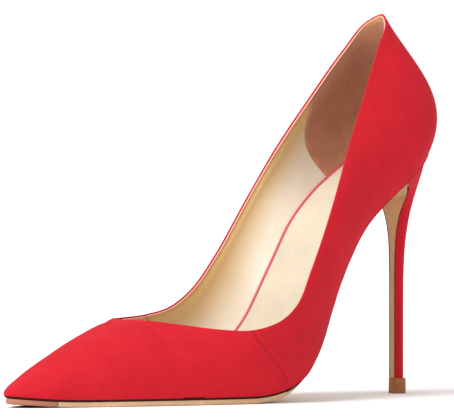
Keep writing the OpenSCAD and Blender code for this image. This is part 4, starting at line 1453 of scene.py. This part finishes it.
class PUMP_OT_stage(bpy.types.Operator):
    """Adds the camera, the lights and the floor."""
    bl_idname = "pump.stage"
    bl_label = "Stage"

    def execute(self, context):
        scene = context.scene
        scene.view_settings.view_transform = "Standard"
        lens = bpy.data.cameras.new("Camera")
        lens.sensor_width, lens.lens = 36.0, CAMERA_LENS
        lens.clip_start, lens.clip_end = 0.1, 200.0
        camera = bpy.data.objects.new("Camera", lens)
        back, right, up = directions(CAMERA_AZIMUTH, CAMERA_ELEVATION)
        target = (LOOK_AT + LOOK_RIGHT * right + LOOK_UP * up) * MM
        camera.location = target + back * CAMERA_DISTANCE
        camera.rotation_euler = back.to_track_quat("Z", "Y").to_euler()
        scene.collection.objects.link(camera)
        scene.camera = camera
        world = bpy.data.worlds.new("Studio")
        world.use_nodes = True
        backdrop = world.node_tree.nodes["Background"]
        backdrop.inputs["Color"].default_value = (1.0, 1.0, 1.0, 1.0)
        seen = add(world.node_tree, "ShaderNodeLightPath").outputs["Is Camera Ray"]
        level = number(world.node_tree, "MULTIPLY_ADD", seen, 1.03 - AMBIENT, AMBIENT)
        world.node_tree.links.new(level, backdrop.inputs["Strength"])
        scene.world = world
        sky_light("Key_light", CAMERA_AZIMUTH - 52, 46, 2.7, 38)
        area_light("Front_light", CAMERA_AZIMUTH - 25, 25, 1.6, (0.8, 0.8), 3.0)
        half = 40.0
        mesh = bpy.data.meshes.new("Floor")
        mesh.from_pydata([(-half, -half, 0), (half, -half, 0), (half, half, 0), (-half, half, 0)], [],
                         [(0, 1, 2, 3)])
        floor = bpy.data.objects.new("Floor", mesh)
        scene.collection.objects.link(floor)
        paper, tree, shader = blank("Pale floor", Roughness=0.9, Specular_IOR_Level=0.0)
        tree.links.new(spread(tree, noise(tree, object_place(tree), 30.0), 0.0, 1.0, 0.985, 0.99),
                       shader.inputs["Base Color"])
        mesh.materials.append(paper)
        return {"FINISHED"}


class PUMP_OT_upper(bpy.types.Operator):
    """Builds the suede vamp and the two quarters."""
    bl_idname = "pump.upper"
    bl_label = "Suede upper"

    def execute(self, context):
        front = stations(0, SEAM - 0.002, 1.4)
        vamp = shell("vamp_suede", (0, 1), front, suede_section, SUEDE_ROLL)
        settle(vamp, ["vamp"], finish("suede"))
        back = stations(SEAM + 0.002, LAST - 0.012, 1.4)
        for side, name in enumerate(("lateral", "medial")):
            quarter = shell(f"quarter_{name}_suede", (side,), back, suede_section, SUEDE_ROLL)
            settle(quarter, [f"quarter_{name}"], finish("suede"))
        return {"FINISHED"}


class PUMP_OT_stiffeners(bpy.types.Operator):
    """Builds the vamp's backing cloth and the topline tapes, and paints the toe puff and heel counter."""
    bl_idname = "pump.stiffeners"
    bl_label = "Stiffeners"

    def execute(self, context):
        repaint("toe_puff", "stiffener")
        repaint("heel_counter", "stiffener")
        depth = SUEDE + GAP
        us = np.concatenate([stations(3.05, 4.2, 2.5), stations(4.2, SEAM - 0.1, 2.5)[1:]])
        backing = shell("vamp_backing_cloth", (0, 1), us, backing_section, (BACKING_N - 1, BACKING_N),
                        ridge_end=4.2)
        settle(backing, ["vamp_backing"], finish("cloth"))
        tapes = []
        for side, name in enumerate(("lateral", "medial")):
            tapes.append(shell(f"topline_tape_{name}", (side,), stations(9.5, 13.25, 2.0),
                               layer_section(0.84, 0.95, depth - 0.06, depth + 0.1, 6), (0, 0)))
        for tape in tapes:
            settle(tape, ["topline_tape"], finish("tape"))
        return {"FINISHED"}


class PUMP_OT_lining(bpy.types.Operator):
    """Builds the lining leather and the heel grip."""
    bl_idname = "pump.lining"
    bl_label = "Lining and heel grip"

    def execute(self, context):
        front = stations(0, SEAM - 0.006, 2.0)
        lining = shell("vamp_lining_leather", (0, 1), front, lining_section, LINING_ROLL)
        settle(lining, ["vamp_lining"], finish("lining"))
        back = stations(SEAM + 0.006, LAST - 0.012, 2.0)
        for side, name in enumerate(("lateral", "medial")):
            piece = shell(f"quarter_lining_{name}_leather", (side,), back, lining_section, LINING_ROLL)
            settle(piece, [f"quarter_lining_{name}"], finish("lining"))
        shares = np.concatenate([np.linspace(1, 0.96, 5), np.linspace(0.95, 0, 34)])
        grip = shell("heel_grip_suede", (0, 1), LAST - 3 * shares, grip_section, (25, 26))
        settle(grip, ["heel_grip"], finish("grip"), "rear_part")
        return {"FINISHED"}


class PUMP_OT_insole(bpy.types.Operator):
    """Builds the insole board, the foam and the felt filler, and paints the shank and its fixings."""
    bl_idname = "pump.insole"
    bl_label = "Insole and shank"

    def execute(self, context):
        for node, key in (("shank_board", "board"), ("shank_spring", "steel"), ("shank_rivets", "steel")):
            repaint(node, key)
        inset = 3.6
        plates = (("insole_board_fibre", "insole_board", "board", "board", 0.3, 17.7, inset, 0.0, BOARD),
                  ("forefoot_foam", "forefoot_pad", "foam", "foam", 2.5, 8.9, inset + 1, BOARD + GAP, 2.0),
                  ("bottom_felt", "bottom_filler", "filler", "felt", 2.5, 8.9, 13.0, -1.1, -0.2),
                  ("sock_foam", "sock_padding", "foam", "foam", 3.0, 17.7, inset + 0.6, 2.1, 3.1))
        for name, node, slot, key, start, end, d, n0, n1 in plates:
            piece = plate_object(name, stations(start, end, 3.0), soft_profile(d, n0, n1), 12)
            settle(piece, [node], finish(key))
        return {"FINISHED"}


class PUMP_OT_sock(bpy.types.Operator):
    """Builds the sock lining and the binding round its edge."""
    bl_idname = "pump.sock"
    bl_label = "Sock and binding"

    def execute(self, context):
        us = np.concatenate([stations(2.6, 17.6, 2.0), [17.75, 17.87, 17.95]])
        sock = plate_object("sock_leather", us, sock_profile, 14, sock_dish)
        settle(sock, ["sock_lining"], finish("sock"))
        sizes = context.scene.pump_sizes
        binding = along_path("sock_edge_binding", binding_path(), binding_tree(),
                             {"Radius": sizes.binding_radius, "Sides": 10, "Material": finish("binding")})
        settle(binding, ["sock_binding"], finish("binding"))
        return {"FINISHED"}


class PUMP_OT_stitching(bpy.types.Operator):
    """Runs a fine row of stitches round the topline, in the colour of the suede."""
    bl_idname = "pump.stitching"
    bl_label = "Topline stitches"

    def execute(self, context):
        sizes = context.scene.pump_sizes
        made = stitch_tree()
        for side, name in zip(SIDES, ("lateral", "medial")):
            row = along_path(f"topline_stitches_{name}", topline_path(side, sizes.stitch_inset / MM), made,
                             {"Pitch": sizes.stitch_pitch, "Stitch length": sizes.stitch_length,
                              "Thread radius": sizes.thread_radius, "Seed": 4,
                              "Material": finish("thread")})
            settle(row, [], finish("thread"))
        return {"FINISHED"}


class PUMP_OT_sole(bpy.types.Operator):
    """Builds the outsole and its darker toe end."""
    bl_idname = "pump.sole"
    bl_label = "Sole"

    def execute(self, context):
        us = stations(2.27, station_at(SIDES[0], SWEEP_S + 0.4), 2.0)
        sole = plate_object("outsole_leather", us, sole_profile, 14, values={"ink_and_shade": sole_ink_and_shade})
        settle(sole, ["outsole"], finish("sole"))
        us = np.concatenate([[0.03, 0.06, 0.12, 0.2], stations(0.3, 2.25, 1.2)])
        toe = plate_object("toe_sole_leather", us, sole_profile, 14, values={"ink_and_shade": sole_ink_and_shade})
        settle(toe, ["sole_toe_piece"], finish("toe"), "forepart")
        return {"FINISHED"}


class PUMP_OT_heel(bpy.types.Operator):
    """Builds the heel's suede cover, its breast and the top piece, and paints what is inside it."""
    bl_idname = "pump.heel"
    bl_label = "Heel"

    def execute(self, context):
        for node in ("heel_dowel", "heel_screw", "heel_nails", "top_piece_pin"):
            repaint(node, "steel")
        suede = context.scene.pump_sizes.heel_suede / MM
        block = block_object("heel_block_moulding", suede + GAP)
        settle(block, ["heel_block"], finish("heel_plastic"), "rear_part")
        cover = cover_object("heel_cover_suede", suede)
        settle(cover, ["heel_cover"], finish("heel_suede"), "rear_part")
        breast = breast_object("breast_leather")
        settle(breast, ["breast_cover"], finish("breast"), "rear_part")
        tip = top_piece_object("heel_top_piece")
        settle(tip, ["top_piece"], finish("top_piece"), "rear_part")
        return {"FINISHED"}


class PUMP_PT_panel(bpy.types.Panel):
    """Lists the sizes, the colours and the steps."""
    bl_label = "High Heel Pump"
    bl_idname = "PUMP_PT_panel"
    bl_space_type = "VIEW_3D"
    bl_region_type = "UI"
    bl_category = "Pump"

    def draw(self, context):
        for group in (context.scene.pump_sizes, context.scene.pump_colours):
            box = self.layout.box()
            for key in group.__annotations__:
                box.prop(group, key)
        for step in STEPS:
            self.layout.operator(step.bl_idname)


STEPS = (PUMP_OT_stage, PUMP_OT_upper, PUMP_OT_stiffeners, PUMP_OT_lining, PUMP_OT_insole, PUMP_OT_sock,
         PUMP_OT_stitching, PUMP_OT_sole, PUMP_OT_heel)
CLASSES = (PumpSizes, PumpColours, *STEPS, PUMP_PT_panel)


def register():
    for cls in CLASSES:
        bpy.utils.register_class(cls)
    bpy.types.Scene.pump_sizes = PointerProperty(type=PumpSizes)
    bpy.types.Scene.pump_colours = PointerProperty(type=PumpColours)


def unregister():
    del bpy.types.Scene.pump_colours
    del bpy.types.Scene.pump_sizes
    for cls in reversed(CLASSES):
        bpy.utils.unregister_class(cls)


def main():
    register()
    bpy.ops.pump.stage()
    bpy.ops.pump.upper()
    bpy.ops.pump.stiffeners()
    bpy.ops.pump.lining()
    bpy.ops.pump.insole()
    bpy.ops.pump.sock()
    bpy.ops.pump.stitching()
    bpy.ops.pump.sole()
    bpy.ops.pump.heel()


if __name__ == "__main__":
    main()
